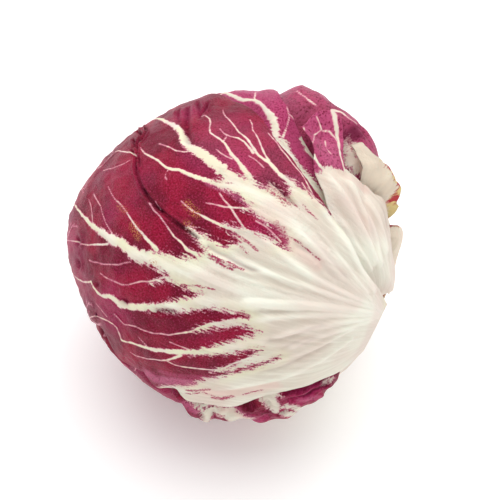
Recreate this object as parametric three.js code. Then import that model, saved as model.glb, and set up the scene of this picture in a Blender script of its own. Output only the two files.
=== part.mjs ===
// A head of radicchio lying on its side: a dense round heart wrapped in large loose leaves.
// Millimetres, +Z up. The head's axis runs from the apex, near -X, to the cut stem, near +X,
// and the stem end tips down a little. The origin is under the middle, on the surface it lies on.
//
// A place on the head is given by two angles: the polar angle from the stem and the azimuth
// round the axis, 0 on top and growing towards -Y. On this head one degree is about 1 mm.
// Each leaf is a shell with a margin drawn in those angles. The leaves are listed from the
// inside out, and each one gives way inwards wherever another lies over it.

import * as THREE from 'three';

// Driving dimensions
const HEAD_RADIUS = 56;        // outside of the wrapped head
const HEAD_SHIFT = [-0.71, -0.99];  // puts the middle of the whole shape over the origin, X and Y
const REST_HEIGHT = 54.2;      // middle of the head above the surface, less than the radius
const AXIS_TIP = 9.5;          // how far the stem end tips down, degrees
const BLADE = 1.0;             // thickness of a leaf's blade
const ROOT_THICKNESS = 2.2;    // thickness of the pale base beside the stem
const ROOT_REACH = 38;         // how far from the stem the base stays thick, degrees
const GAP = 0.9;               // space between one leaf and the next
const STEM_ANGLE = 12.0;       // half angle of the stem's cone, degrees
const ROOT_ANGLE = 12.8;       // polar angle at which every leaf begins, degrees
const PRESS_NEAR = 9;          // a leaf lies fully pressed down this far outside an upper margin
const PRESS_FAR = 18;          // and has risen again this far outside it
const FREE_NEAR = 1;           // ribs and curls of a leaf begin this far outside an upper margin
const FREE_FAR = 6;            // and are whole this far outside it
const EDGE_BAND = 22;          // width of the margin that may curl away from the head
const OUTLINE_STEPS = 32;      // points along each of a leaf's sides, for distances
const ROOT_CROWDING = 1.25;    // rows of a leaf's grid stand closer together near its root
const FAN_RIB_HEIGHT = 1.2;    // ribs that fan out from the root of a leaf
const FAN_RIB_WIDTH = 4.5;     // their half width
const HEART_RINGS = 22;
const HEART_SECTORS = 36;
const HEART_LEAVES = 5;        // leaf edges that spiral over the heart
const HEART_STEP = 1.4;        // height of one of those edges
const STEM_SIDES = 36;
const STEM_TOP = 1.0;          // how far the cut face stands below the head's radius
const STEM_BEVEL = 0.8;        // worn edge of the cut face

const DEG = Math.PI / 180;
const MM_PER_DEG = HEAD_RADIUS * DEG;

// Swells and hollows of the whole head: place [polar, azimuth], height in mm, spread in degrees
const SWELLS = [
  { at: [12, 0], height: 2.6, spread: 28 },
  { at: [160, 82], height: 3.4, spread: 17 },
  { at: [163, 15], height: 1.2, spread: 16 },
  { at: [113, -43], height: 2.4, spread: 16 },
  { at: [115, 116], height: -1.6, spread: 24 },
  { at: [70, 25], height: 1.0, spread: 22 },
  { at: [100, 200], height: 1.2, spread: 25 },
];

// A crest on the far side of the head, under the wing leaf: for each polar angle the azimuth of its
// top, its height and its spread to the front, in mm. CREST_BACK is its spread to the back.
const CREST = [
  { polar: 49, top: -34, height: 0, front: 6 },
  { polar: 55, top: -33, height: 6, front: 6 },
  { polar: 60, top: -32, height: 8.5, front: 6 },
  { polar: 65, top: -32, height: 10, front: 6 },
  { polar: 70, top: -34, height: 10, front: 6 },
  { polar: 76, top: -33, height: 9.5, front: 6 },
  { polar: 80, top: -35, height: 9.5, front: 8 },
  { polar: 85, top: -42, height: 9.5, front: 15 },
  { polar: 91, top: -46, height: 9, front: 18 },
  { polar: 97, top: -46, height: 3.5, front: 18 },
  { polar: 104, top: -46, height: 0, front: 18 },
];
const CREST_BACK = 30;

// The leaves, from the innermost to the outermost. Each margin is listed from the stem outwards.
// "low" is the side towards smaller azimuths, "high" the other, "tip" runs from low to high.
// "lifts" are places where the margin stands away from the head, "ribs" the raised veins.
const LEAVES = [
  {
    name: 'leaf_rear', color: 0x8c2444, grid: [16, 18], centre: [88, 255], root: [205, 305],
    low: [[40, 192], [75, 186], [110, 180], [138, 176]],
    tip: [[160, 190], [166, 250], [158, 305]],
    high: [[40, 318], [75, 322], [105, 326], [135, 322]],
    wave: { size: 1.2, length: 24 }, slack: 0.3, fan: [-52, -27, 0, 27, 52],
    lifts: [{ at: [150, 190], height: 2.0, spread: 24 }],
  },
  {
    name: 'leaf_back', color: 0x94284a, grid: [16, 18], centre: [86, 215], root: [165, 262],
    low: [[40, 158], [75, 150], [110, 150], [138, 158]],
    tip: [[158, 185], [160, 225], [146, 262]],
    high: [[40, 268], [72, 273], [100, 274], [125, 272]],
    wave: { size: 1.3, length: 22 }, slack: 0.3, fan: [-50, -26, 0, 26, 50],
    lifts: [{ at: [100, 272], height: 3.0, spread: 30 }, { at: [60, 268], height: 1.8, spread: 18 }],
  },
  {
    name: 'leaf_under', color: 0x8a2040, grid: [16, 18], centre: [84, 160], root: [112, 206],
    low: [[40, 100], [75, 88], [105, 84], [132, 92]],
    tip: [[150, 118], [156, 165], [146, 208]],
    high: [[40, 214], [72, 222], [100, 226], [126, 222]],
    wave: { size: 1.4, length: 21 }, slack: 0.8, fan: [-50, -26, 0, 26, 50],
    lifts: [{ at: [95, 226], height: 3.2, spread: 26 }, { at: [140, 205], height: 2.2, spread: 18 }],
  },
  {
    name: 'leaf_wing', color: 0xa23a62, grid: [16, 20], centre: [84, 278], root: [252, 322],
    low: [[36, 244], [64, 236], [92, 236], [118, 246]],
    tip: [[134, 270], [132, 300], [116, 326]],
    high: [[34, 300], [46, 318], [54, 332], [62, 344], [74, 350], [90, 350], [105, 342]],
    wave: { size: 0.8, length: 26 }, slack: 0.4, fan: [-48, -30, -12],
    lifts: [{ at: [92, 238], height: 4.0, spread: 22 }, { at: [128, 290], height: 2.4, spread: 20 }],
  },
  {
    name: 'leaf_cream', color: 0xe8dcc4, grid: [14, 12], centre: [42, 318], root: [270, 350],
    low: [[20, 290], [30, 312], [36, 328.5], [39.5, 328.5], [43, 328.5], [47, 325.5], [51, 329], [56, 331],
      [60, 332.6]],
    tip: [[63, 332.2], [64.8, 331.8], [66.4, 332.2]],
    high: [[26, 352], [36, 350], [44, 343], [50, 338], [54, 336], [58, 336], [61.4, 335.6], [64.3, 333.8]],
    wave: { size: 0.3, length: 15 }, slack: 0.4, fan: [],
    lifts: [
      { at: [46, 327], height: 9.3, spread: 13 }, { at: [56, 331], height: 4.5, spread: 9 },
      { at: [34, 318], height: 4, spread: 12 },
    ],
  },
  {
    name: 'leaf_skirt', color: 0xb25a76, grid: [16, 16], centre: [66, 98], root: [78, 110],
    low: [[30, 74], [54, 72], [80, 72], [100, 76]],
    tip: [[106, 84], [103, 95], [96, 105]],
    high: [[24, 109], [27.5, 116], [32, 121], [38, 117], [42, 118], [46, 121], [54, 124], [60, 117],
      [68, 117], [72, 114.5], [75.5, 121], [79, 114], [83, 108.5], [88, 103]],
    wave: { size: 1.0, length: 11 }, slack: 0.4, fan: [-26, -9, 9, 26],
    lifts: [
      { at: [48, 124], height: 4.0, spread: 17 }, { at: [76, 118], height: 3.0, spread: 16 },
      { at: [98, 100], height: 1.6, spread: 12 },
    ],
  },
  {
    name: 'leaf_top', color: 0xa22e56, grid: [16, 18], centre: [88, 356], root: [322, 390],
    low: [[24, 346], [34, 354], [50, 354], [64, 352], [73, 345], [82, 338], [92, 333], [99, 320]],
    tip: [[109, 304], [130, 306], [143, 332], [130, 374]],
    high: [[34, 396], [60, 404], [92, 402]],
    wave: { size: 0.8, length: 24 }, slack: 0.5, fan: [-40, -22, 0, 22],
    lifts: [{ at: [98, 326], height: 2.0, spread: 14 }],
  },
  {
    name: 'leaf_crown', color: 0xb04a7c, grid: [18, 16], centre: [52, 345], root: [310, 384],
    low: [[22, 330], [27, 335], [32.3, 337.5], [36.6, 333.5], [42, 334.5], [46, 333], [49.6, 337], [53, 337],
      [57.3, 341], [63.1, 343], [66.3, 340], [69.7, 333.5], [73.1, 331]],
    tip: [[77.8, 330.5], [81, 333], [82.6, 340]],
    high: [[34, 384], [50, 370], [62, 360], [71, 353], [76, 347]],
    wave: { size: 0.6, length: 15 }, slack: 0.6, fan: [-30, -14, 4],
    lifts: [
      { at: [79, 331], height: 3.0, spread: 11 }, { at: [79, 345], height: 3.6, spread: 9 },
      { at: [69, 341], height: 3.5, spread: 9 }, { at: [44, 337], height: 3.0, spread: 9 },
      { at: [58, 346], height: 1.8, spread: 9 },
    ],
  },
  {
    name: 'leaf_front', color: 0x9c2248, grid: [28, 30], centre: [88, 43], root: [8, 104],
    low: [[24, 14], [36, 14], [51, 8], [65, 3], [76, -3], [87, -9], [97, -19], [109, -28], [122, -38]],
    tip: [[143, -60], [156, -120], [158, -190], [146, -228]],
    high: [[20, 97], [29.2, 90.9], [37.9, 88.7], [45.8, 88.2], [53.3, 92.1], [60.1, 96.5], [64.3, 101.6],
      [68.2, 104.8], [77, 103], [81.2, 103.9], [83.9, 101.3], [86, 98], [89.1, 100], [93.2, 105], [96, 101.5],
      [98.2, 97.5], [101.5, 100], [109.5, 106], [112.5, 102.5], [117, 98], [122, 97], [130, 108], [138, 124]],
    wave: { size: 0.7, length: 23 }, slack: 2.0, fan: [],
    lifts: [{ at: [40, 95], height: 1.4, spread: 14 }],
    // Main ribs, from the stem outwards: places on the head, height and half width in mm
    ribs: [
      { line: [[14, 40], [40, 27], [66, 24], [90, 16], [110, 4], [124, -9]], height: 1.1, width: 5 },
      { line: [[14, 45], [40, 44], [70, 45], [100, 51], [125, 56], [148, 76]], height: 0.9, width: 4.5 },
      { line: [[14, 52], [45, 57], [75, 60], [100, 68], [125, 78], [140, 92]], height: 0.7, width: 4 },
      { line: [[14, 60], [45, 68], [75, 74], [98, 80], [114, 86]], height: 0.6, width: 3.5 },
    ],
    // Creases where the leaf is folded over itself: depth and half width in mm
    creases: [
      {
        line: [[136, 10], [128, 21], [117, 30], [103, 34], [89, 37], [77, 37.5], [62, 39.5]],
        depth: 2.0, width: 3.2,
      },
      { line: [[92, 8], [84, 12], [72, 14], [58, 19]], depth: 1.3, width: 3.5 },
      { line: [[124, -14], [116, -4], [110, 5]], depth: 1.2, width: 4 },
    ],
  },
];

// Directions
const TIPPED = AXIS_TIP * DEG;
const AXIS = new THREE.Vector3(Math.cos(TIPPED), 0, -Math.sin(TIPPED));
const SIDE = new THREE.Vector3(0, -1, 0);
const ABOVE = new THREE.Vector3(Math.sin(TIPPED), 0, Math.cos(TIPPED));

function direction([polar, azimuth]) {
  const sine = Math.sin(polar * DEG);
  return new THREE.Vector3()
    .addScaledVector(AXIS, Math.cos(polar * DEG))
    .addScaledVector(SIDE, sine * Math.sin(azimuth * DEG))
    .addScaledVector(ABOVE, sine * Math.cos(azimuth * DEG));
}

function polarAngle(dir) {
  return Math.acos(THREE.MathUtils.clamp(dir.dot(AXIS), -1, 1)) / DEG;
}

const smooth = (value, from, to) => THREE.MathUtils.smoothstep(value, from, to);
const bell = (distance, spread) => Math.exp(-((distance / spread) ** 2));

// A flat map of the head round one place, in mm: x away from the stem, y towards higher azimuths
class HeadMap {
  constructor([polar, azimuth]) {
    this.centre = direction([polar, azimuth]);
    this.outward = direction([polar + 90, azimuth]);
    this.across = new THREE.Vector3().crossVectors(this.outward, this.centre);
    if (this.across.dot(direction([90, azimuth + 90])) < 0) this.across.negate();
  }

  flatten(dir) {
    const angle = Math.acos(THREE.MathUtils.clamp(dir.dot(this.centre), -1, 1));
    const x = dir.dot(this.outward);
    const y = dir.dot(this.across);
    const scale = (angle / DEG) * MM_PER_DEG / Math.max(Math.hypot(x, y), 1e-9);
    return new THREE.Vector2(x * scale, y * scale);
  }

  lift(point) {
    const length = Math.max(point.length(), 1e-9);
    const angle = (length / MM_PER_DEG) * DEG;
    return this.centre.clone().multiplyScalar(Math.cos(angle))
      .addScaledVector(this.outward, Math.sin(angle) * point.x / length)
      .addScaledVector(this.across, Math.sin(angle) * point.y / length);
  }
}

// Distance from a point to a line of points, and how far along the line it is nearest
function nearestOnLine(point, line) {
  const best = { distance: Infinity, along: 0 };
  let walked = 0;
  for (let i = 0; i + 1 < line.length; i += 1) {
    const dx = line[i + 1].x - line[i].x;
    const dy = line[i + 1].y - line[i].y;
    const span = Math.hypot(dx, dy);
    const part = ((point.x - line[i].x) * dx + (point.y - line[i].y) * dy) / Math.max(span * span, 1e-9);
    const t = THREE.MathUtils.clamp(part, 0, 1);
    const distance = Math.hypot(line[i].x + dx * t - point.x, line[i].y + dy * t - point.y);
    if (distance < best.distance) {
      best.distance = distance;
      best.along = walked + span * t;
    }
    walked += span;
  }
  return best;
}

function isInside(point, loop) {
  let inside = false;
  for (let i = 0, j = loop.length - 1; i < loop.length; j = i, i += 1) {
    const a = loop[i];
    const b = loop[j];
    const crosses = (a.y > point.y) !== (b.y > point.y);
    if (crosses && point.x < ((b.x - a.x) * (point.y - a.y)) / (b.y - a.y) + a.x) inside = !inside;
  }
  return inside;
}

// One leaf: its map, its four sides and the lines of its ribs and creases
class Leaf {
  constructor(spec) {
    Object.assign(this, spec);
    this.map = new HeadMap(spec.centre);
    const flat = (place) => this.map.flatten(direction(place));
    const [rootLow, rootHigh] = spec.root;
    const startLow = [ROOT_ANGLE, rootLow];
    const startHigh = [ROOT_ANGLE, rootHigh];
    const tipLow = spec.tip[0];
    const tipHigh = spec.tip[spec.tip.length - 1];
    const curve = (places) => new THREE.SplineCurve(places.map(flat));
    this.lowSide = curve([startLow, ...spec.low, tipLow]);
    this.highSide = curve([startHigh, ...spec.high, tipHigh]);
    this.tipSide = curve(spec.tip);
    this.rootPoint = (t) => flat([ROOT_ANGLE, rootLow + (rootHigh - rootLow) * t]);
    const low = this.lowSide.getSpacedPoints(OUTLINE_STEPS);
    const high = this.highSide.getSpacedPoints(OUTLINE_STEPS);
    const end = this.tipSide.getSpacedPoints(OUTLINE_STEPS);
    const stem = flat([0, 0]);
    this.outline = [stem, ...low, ...end.slice(1), ...high.reverse().slice(1)];
    this.ribLines = (spec.ribs || this.fanRibs()).map((rib) => ({ ...rib, line: this.smoothLine(rib.line) }));
    const creases = spec.creases || [];
    this.creaseLines = creases.map((crease) => ({ ...crease, line: this.smoothLine(crease.line) }));
  }

  // Ribs that fan out from the root, one for each angle, in places on the head
  fanRibs() {
    const [polar, azimuth] = this.centre;
    return this.fan.map((turn) => ({
      line: [
        [ROOT_ANGLE, azimuth + turn * 0.7],
        [polar * 0.6, azimuth + turn * 0.5],
        [polar * 1.05, azimuth + turn * 0.85],
        [polar * 1.45, azimuth + turn * 1.3],
      ],
      height: FAN_RIB_HEIGHT,
      width: FAN_RIB_WIDTH,
    }));
  }

  smoothLine(places) {
    const curve = new THREE.SplineCurve(places.map((place) => this.map.flatten(direction(place))));
    return curve.getSpacedPoints(12);
  }

  // Distance outside the margin, negative inside, and the place along it
  edge(dir) {
    const point = this.map.flatten(dir);
    const near = nearestOnLine(point, [...this.outline, this.outline[0]]);
    return { distance: isInside(point, this.outline) ? -near.distance : near.distance, along: near.along };
  }

  thickness(dir) {
    return BLADE + (ROOT_THICKNESS - BLADE) * bell(polarAngle(dir), ROOT_REACH);
  }

  // The room that this leaf takes up under what lies over it
  room(dir, distance) {
    const pressed = 1 - smooth(distance, PRESS_NEAR, PRESS_FAR);
    return pressed * (this.thickness(dir) + GAP + this.slack);
  }

  // Ribs, creases, waves and lifts of the free face
  relief(dir, edge) {
    const point = this.map.flatten(dir);
    let height = 0;
    for (const rib of this.ribLines) {
      height = Math.max(height, rib.height * bell(nearestOnLine(point, rib.line).distance, rib.width));
    }
    for (const crease of this.creaseLines) {
      height -= crease.depth * bell(nearestOnLine(point, crease.line).distance, crease.width);
    }
    return height * (1 - smooth(edge.distance, -6, 0));
  }

  // Waves of the free margin
  wavesAt(edge) {
    const turn = Math.sin((edge.along / this.wave.length) * 2 * Math.PI);
    return this.wave.size * (0.5 + 0.5 * turn) * smooth(edge.distance, -EDGE_BAND * 0.5, 0);
  }

  // How far the margin stands up from the radius base, where "round" is the head's own radius
  liftAt(dir, edge, free, base, round) {
    const rise = free * smooth(edge.distance, -EDGE_BAND, 0);
    return this.lifts.reduce((height, lift) => {
      const share = rise * bell(dir.angleTo(direction(lift.at)) / DEG, lift.spread);
      return Math.max(height, (round + lift.height - base) * share);
    }, 0);
  }
}

const leaves = LEAVES.map((spec) => new Leaf(spec));

// Azimuth of a direction, from -180 to 180
function azimuthAngle(dir) {
  return Math.atan2(dir.dot(SIDE), dir.dot(ABOVE)) / DEG;
}

// Height of the crest under a direction
function crestHeight(dir) {
  const polar = polarAngle(dir);
  const next = CREST.findIndex((row) => row.polar > polar);
  if (next < 1) return 0;
  const [a, b] = [CREST[next - 1], CREST[next]];
  const part = (polar - a.polar) / (b.polar - a.polar);
  const value = (key) => THREE.MathUtils.lerp(a[key], b[key], part);
  const across = (azimuthAngle(dir) - value('top')) * MM_PER_DEG * Math.sin(polar * DEG);
  return value('height') * bell(across, across > 0 ? value('front') : CREST_BACK);
}

// Outside of the wrapped head, flat where it rests
function headRadius(dir) {
  let radius = HEAD_RADIUS + crestHeight(dir);
  for (const swell of SWELLS) {
    radius += swell.height * bell(dir.angleTo(direction(swell.at)) / DEG, swell.spread);
  }
  return radius;
}

function restLimit(dir) {
  return dir.z < 0 ? REST_HEIGHT / -dir.z : Infinity;
}

// Radius of the free face of leaf number index, or of the heart at -1, before its own relief
function stackRadius(dir, index) {
  let radius = Math.min(headRadius(dir), restLimit(dir));
  for (let k = leaves.length - 1; k > index; k -= 1) {
    radius -= leaves[k].room(dir, leaves[k].edge(dir).distance);
  }
  return radius;
}

// How free a place on a leaf is from the leaves over it: 1 in the open, 0 under another
function exposure(dir, index) {
  let free = 1;
  for (let k = index + 1; k < leaves.length; k += 1) {
    free *= smooth(leaves[k].edge(dir).distance, FREE_NEAR, FREE_FAR);
  }
  return free;
}

function leafRadii(index, dir) {
  const leaf = leaves[index];
  const edge = leaf.edge(dir);
  const free = exposure(dir, index) * smooth(polarAngle(dir), ROOT_ANGLE, ROOT_ANGLE + 20);
  const pressed = stackRadius(dir, index);
  const lift = leaf.liftAt(dir, edge, free, pressed, headRadius(dir));
  const base = pressed + lift + free * leaf.wavesAt(edge);
  const outer = base + free * leaf.relief(dir, edge);
  const dent = Math.min(outer - base, 0);
  const limit = restLimit(dir);
  const thickness = leaf.thickness(dir);
  return { outer: Math.min(outer, limit), inner: Math.min(base + dent, limit) - thickness };
}

// A patch of points between four sides, as a fraction u from root to tip and v from low to high
function patchPoint(leaf, u, v) {
  const low = leaf.lowSide.getPointAt(u);
  const high = leaf.highSide.getPointAt(u);
  const root = leaf.rootPoint(v);
  const end = leaf.tipSide.getPointAt(v);
  const mix = (a, b, t) => a.clone().multiplyScalar(1 - t).addScaledVector(b, t);
  const rootChord = mix(leaf.rootPoint(0), leaf.rootPoint(1), v);
  const tipChord = mix(leaf.tipSide.getPointAt(0), leaf.tipSide.getPointAt(1), v);
  return mix(low, high, v).add(mix(root, end, u)).sub(mix(rootChord, tipChord, u));
}

// A closed shell from a grid of outer and inner points, with both faces split alike
function shellGeometry(rows, columns, pointPair) {
  const positions = [];
  const indices = [];
  const width = columns + 1;
  const count = (rows + 1) * width;
  const inner = [];
  for (let i = 0; i <= rows; i += 1) {
    for (let j = 0; j <= columns; j += 1) {
      const pair = pointPair((i / rows) ** ROOT_CROWDING, j / columns);
      positions.push(...pair.outer.toArray());
      inner.push(...pair.inner.toArray());
    }
  }
  positions.push(...inner);
  const quad = (a, b, c, d) => indices.push(a, b, c, a, c, d);
  for (let i = 0; i < rows; i += 1) {
    for (let j = 0; j < columns; j += 1) {
      const a = i * width + j;
      const b = a + width;
      quad(a, b, b + 1, a + 1);
      indices.push(a + count, b + 1 + count, b + count, a + count, a + 1 + count, b + 1 + count);
    }
  }
  const rim = [];
  for (let j = 0; j < columns; j += 1) rim.push(j);
  for (let i = 0; i < rows; i += 1) rim.push(i * width + columns);
  for (let j = columns; j > 0; j -= 1) rim.push(rows * width + j);
  for (let i = rows; i > 0; i -= 1) rim.push(i * width);
  for (let k = 0; k < rim.length; k += 1) {
    const a = rim[k];
    const b = rim[(k + 1) % rim.length];
    quad(a, b, b + count, a + count);
  }
  const geometry = new THREE.BufferGeometry();
  geometry.setAttribute('position', new THREE.Float32BufferAttribute(positions, 3));
  geometry.setIndex(indices);
  return geometry;
}

function leafGeometry(index) {
  const leaf = leaves[index];
  const [rows, columns] = leaf.grid;
  const pair = (u, v) => {
    const dir = leaf.map.lift(patchPoint(leaf, u, v));
    const radii = leafRadii(index, dir);
    return { outer: dir.clone().multiplyScalar(radii.outer), inner: dir.clone().multiplyScalar(radii.inner) };
  };
  return shellGeometry(rows, columns, pair);
}

// The heart: a closed ball in rings round the axis, with leaf edges spiralling over it
function heartRadius(polar, azimuth) {
  const dir = direction([polar, azimuth]);
  const turn = ((azimuth + polar * 0.7) / 360) * HEART_LEAVES;
  const part = turn - Math.floor(turn);
  const step = HEART_STEP * Math.sin(polar * DEG) * Math.min(part, (1 - part) * 4);
  return stackRadius(dir, -1) - GAP - HEART_STEP + step;
}

function heartGeometry() {
  const positions = [];
  const indices = [];
  const push = (polar, azimuth) => {
    positions.push(...direction([polar, azimuth]).multiplyScalar(heartRadius(polar, azimuth)).toArray());
  };
  push(0, 0);
  for (let ring = 1; ring < HEART_RINGS; ring += 1) {
    for (let k = 0; k < HEART_SECTORS; k += 1) push((ring / HEART_RINGS) * 180, (k / HEART_SECTORS) * 360);
  }
  push(180, 0);
  const at = (ring, k) => 1 + (ring - 1) * HEART_SECTORS + (k % HEART_SECTORS);
  const last = 1 + (HEART_RINGS - 1) * HEART_SECTORS;
  for (let k = 0; k < HEART_SECTORS; k += 1) {
    indices.push(0, at(1, k), at(1, k + 1));
    indices.push(last, at(HEART_RINGS - 1, k + 1), at(HEART_RINGS - 1, k));
    for (let ring = 1; ring < HEART_RINGS - 1; ring += 1) {
      indices.push(at(ring, k), at(ring + 1, k + 1), at(ring, k + 1));
      indices.push(at(ring, k), at(ring + 1, k), at(ring + 1, k + 1));
    }
  }
  const geometry = new THREE.BufferGeometry();
  geometry.setAttribute('position', new THREE.Float32BufferAttribute(positions, 3));
  geometry.setIndex(indices);
  return geometry;
}

// The cut stem: a cone that widens towards its cut face, standing on the heart between the roots
function stemGeometry() {
  let foot = 0;
  for (let polar = 0; polar <= STEM_ANGLE * 1.5; polar += 2) {
    for (let azimuth = 0; azimuth < 360; azimuth += 10) {
      foot = Math.max(foot, heartRadius(polar, azimuth) * Math.cos(polar * DEG));
    }
  }
  const slope = Math.tan(STEM_ANGLE * DEG);
  const start = foot + GAP;
  const top = HEAD_RADIUS - STEM_TOP;
  const profile = [
    new THREE.Vector2(0, start),
    new THREE.Vector2(start * slope, start),
    new THREE.Vector2((top - STEM_BEVEL) * slope, top - STEM_BEVEL),
    new THREE.Vector2(top * slope - STEM_BEVEL, top),
    new THREE.Vector2(0, top),
  ];
  const geometry = new THREE.LatheGeometry(profile, STEM_SIDES);
  geometry.rotateZ(-Math.PI / 2);
  geometry.rotateY(TIPPED);
  return geometry;
}

function mesh(name, geometry, color, roughness) {
  const material = new THREE.MeshStandardMaterial({ color, roughness, metalness: 0 });
  const piece = new THREE.Mesh(geometry, material);
  piece.name = name;
  return piece;
}

const radicchio = new THREE.Group();
radicchio.name = 'radicchio';
radicchio.position.set(...HEAD_SHIFT, REST_HEIGHT);
radicchio.add(mesh('stem', stemGeometry(), 0xd9c09a, 0.8));
radicchio.add(mesh('heart', heartGeometry(), 0x7c1c3a, 0.5));
leaves.forEach((leaf, index) => radicchio.add(mesh(leaf.name, leafGeometry(index), leaf.color, 0.5)));

export default radicchio;
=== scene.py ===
# A head of radicchio lying on a plain white floor.
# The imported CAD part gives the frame. Every piece of it is replaced here by a finer one of the
# same form, worked out from the same driving dimensions, with veins, creases and torn margins.
# Lengths are millimetres and angles degrees until a mesh is made.

import math

import bpy
import numpy as np
from mathutils import Matrix, Vector, noise


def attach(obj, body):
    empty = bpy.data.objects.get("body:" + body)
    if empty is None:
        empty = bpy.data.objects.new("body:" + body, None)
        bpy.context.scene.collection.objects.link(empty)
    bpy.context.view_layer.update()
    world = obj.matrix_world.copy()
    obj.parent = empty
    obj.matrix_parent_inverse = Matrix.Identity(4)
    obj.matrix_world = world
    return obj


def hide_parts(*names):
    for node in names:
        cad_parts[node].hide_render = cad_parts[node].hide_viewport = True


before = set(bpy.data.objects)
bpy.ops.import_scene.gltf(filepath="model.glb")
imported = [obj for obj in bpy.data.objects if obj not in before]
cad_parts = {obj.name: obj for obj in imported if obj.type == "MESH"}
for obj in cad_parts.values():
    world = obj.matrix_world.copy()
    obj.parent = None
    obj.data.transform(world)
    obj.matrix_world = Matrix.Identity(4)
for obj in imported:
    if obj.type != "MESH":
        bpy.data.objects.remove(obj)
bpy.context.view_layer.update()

# Driving dimensions of the head, as in the CAD part
HEAD_RADIUS = 56.0
REST_HEIGHT = 54.2       # middle of the head above the floor, less than its radius
HEAD_CENTRE = np.array([-0.71, -0.99, REST_HEIGHT])
AXIS_TIP = 9.5           # how far the stem end tips down
ROOT_REACH = 38.0        # how far from the stem a base stays thick, an angle
ROOT_ANGLE = 12.8        # polar angle at which every leaf begins
STEM_ANGLE = 12.0        # half angle of the stem's cone
OUTLINE_STEPS = 32       # points along each side of a leaf's outline
ROOT_CROWDING = 1.25     # rows of a leaf's grid stand closer together near its root
EDGE_BAND = 22.0         # width of the margin that may curl away from the head

# Finer values than the solids can carry
BLADE = 0.8              # thickness of a blade, of the base beside the stem and of the rim
ROOT_THICKNESS = 2.0
RIM_THICKNESS = 0.5
RIM_BAND = 5.0           # width over which a leaf thins to its rim
RIM_ROUND = 0.22         # how far the middle of the rim stands out
GAP = 0.55               # space between one leaf and the next
PRESS_NEAR = 2.5         # a leaf lies fully pressed down this far outside an upper margin
PRESS_FAR = 9.0          # and has risen again this far outside it
FREE_NEAR = 1.0          # ribs and curls of a leaf begin this far outside an upper margin
FREE_FAR = 5.0           # and are whole this far outside it
FREE_REACH = 20.0        # angle from the root over which they grow
INNER_STEP = 5           # the inner face has one row for this many of the outer one
RELIEF_BAND = 4.0        # veins and puckers fade out over this width at the margin
TEETH = [(1.0, 6.0), (0.6, 2.2), (0.35, 1.0)]  # height and length of the teeth of a margin
SEED = 11
MM = 0.001               # one millimetre, in the metres of the scene

# Veins, ribs and skin
VEIN_HEIGHT = 0.34       # height of a vein, as a share of its half width
RIB_HEIGHT = 1.0         # the same for the broad ribs of a pale base
UNEVEN = 0.7             # length over which a vein's width changes
FAN_WIDTHS = (7, 5.5, 3.6, 2.2, 1.1, 0.5, 0.05)  # of a rib on a leaf that the photograph hides
VEIN_SPACING = 11.0      # between the side veins of such a rib
VEIN_REACH = 34.0        # their length
HIDDEN_SPACING = 8.0     # the same for a traced vein past the outline
HIDDEN_REACH = 20.0
BRANCH_LEVELS = 3
BRANCH_ANGLES = (34, 52)         # between a side vein and the vein that it leaves
BRANCH_BENDS = (0.68, 0.95)      # share of that angle left after each quarter of its length
BRANCH_SWAY = 9                  # random turn at each quarter
BRANCH_WIDTHS = (0.3, 0.5)       # share of the width of the vein that it leaves
FINER_SPACING = 0.6              # from one level of side veins to the next
FINER_REACH = 0.42
VEIN_BEND = 0.22                 # how far a vein's points wander from its line
VEIN_SWING = 0.3                 # how much its width changes
PUCKERS = [(0.5, 7.5), (0.3, 3.2), (0.1, 1.5)]  # height and size of the lumps in a blade
FURROW_HEIGHT = 0.55     # long grooves in a pale base
FURROW_LENGTH = 26.0
FURROW_WIDTH = 4.5
CREASE_LIP = 0.35        # height of the fold beside a crease, as a share of its depth
BASE_WANDER = 5.0        # how far the end of a pale base wanders, degrees
WANDER_LENGTH = 16.0     # and over what turn
TORN_BAND = 1.5          # width of the browned rim
TORN_SPREAD = 11.0

# Heart and stem
HEART_RINGS = 110
HEART_SECTORS = 180
HEART_LEAVES = 5
HEART_STEP = 1.4
HEART_TWIST = 0.7        # how much its leaf edges spiral
STEM_SIDES = 96
STEM_TOP = 1.0
STEM_CLEARANCE = 0.9

# Floor and light: sizes in metres, strengths in watts or as Blender counts them
FLOOR_SIZE = 6.0
FLOOR_GLOW = 0.16
SKY_STRENGTH = 0.7
KEY_PLACE = (-0.13, 0.3, 1.2)
KEY_SIZE = 1.4
KEY_POWER = 12.2
KEY_AIM = (0, 0, 0.05)

# Camera and picture
PICTURE = 500.0
HEAD_PIXEL = (233.0, 256.0)
HEAD_PIXEL_RADIUS = 157.5
CAMERA_AZIMUTH = 23.0
CAMERA_ELEVATION = 50.0
LENS = 100.0
SENSOR = 36.0
FOCAL = LENS / SENSOR * PICTURE
CAMERA_DISTANCE = HEAD_RADIUS * math.hypot(1, FOCAL / HEAD_PIXEL_RADIUS)
MM_PER_PIXEL = HEAD_RADIUS / HEAD_PIXEL_RADIUS
CAST_RADIUS = 72.0
CAST_STEPS = 90

TIPPED = math.radians(AXIS_TIP)
AXIS = np.array([math.cos(TIPPED), 0, -math.sin(TIPPED)])
SIDE = np.array([0.0, -1.0, 0.0])
ABOVE = np.array([math.sin(TIPPED), 0, math.cos(TIPPED)])

TURN = math.radians(CAMERA_AZIMUTH)
RISE = math.radians(CAMERA_ELEVATION)
BACK = np.array([math.sin(TURN) * math.cos(RISE), -math.cos(TURN) * math.cos(RISE), math.sin(RISE)])
RIGHT = np.array([math.cos(TURN), math.sin(TURN), 0.0])
UP = np.cross(BACK, RIGHT)

# Swells and hollows of the whole head: place (polar, azimuth), height, spread
SWELLS = [
    ((12, 0), 2.6, 28), ((160, 82), 3.4, 17), ((163, 15), 1.2, 16), ((113, -43), 2.4, 16),
    ((115, 116), -1.6, 24), ((70, 25), 1.0, 22), ((100, 200), 1.2, 25),
]

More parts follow.
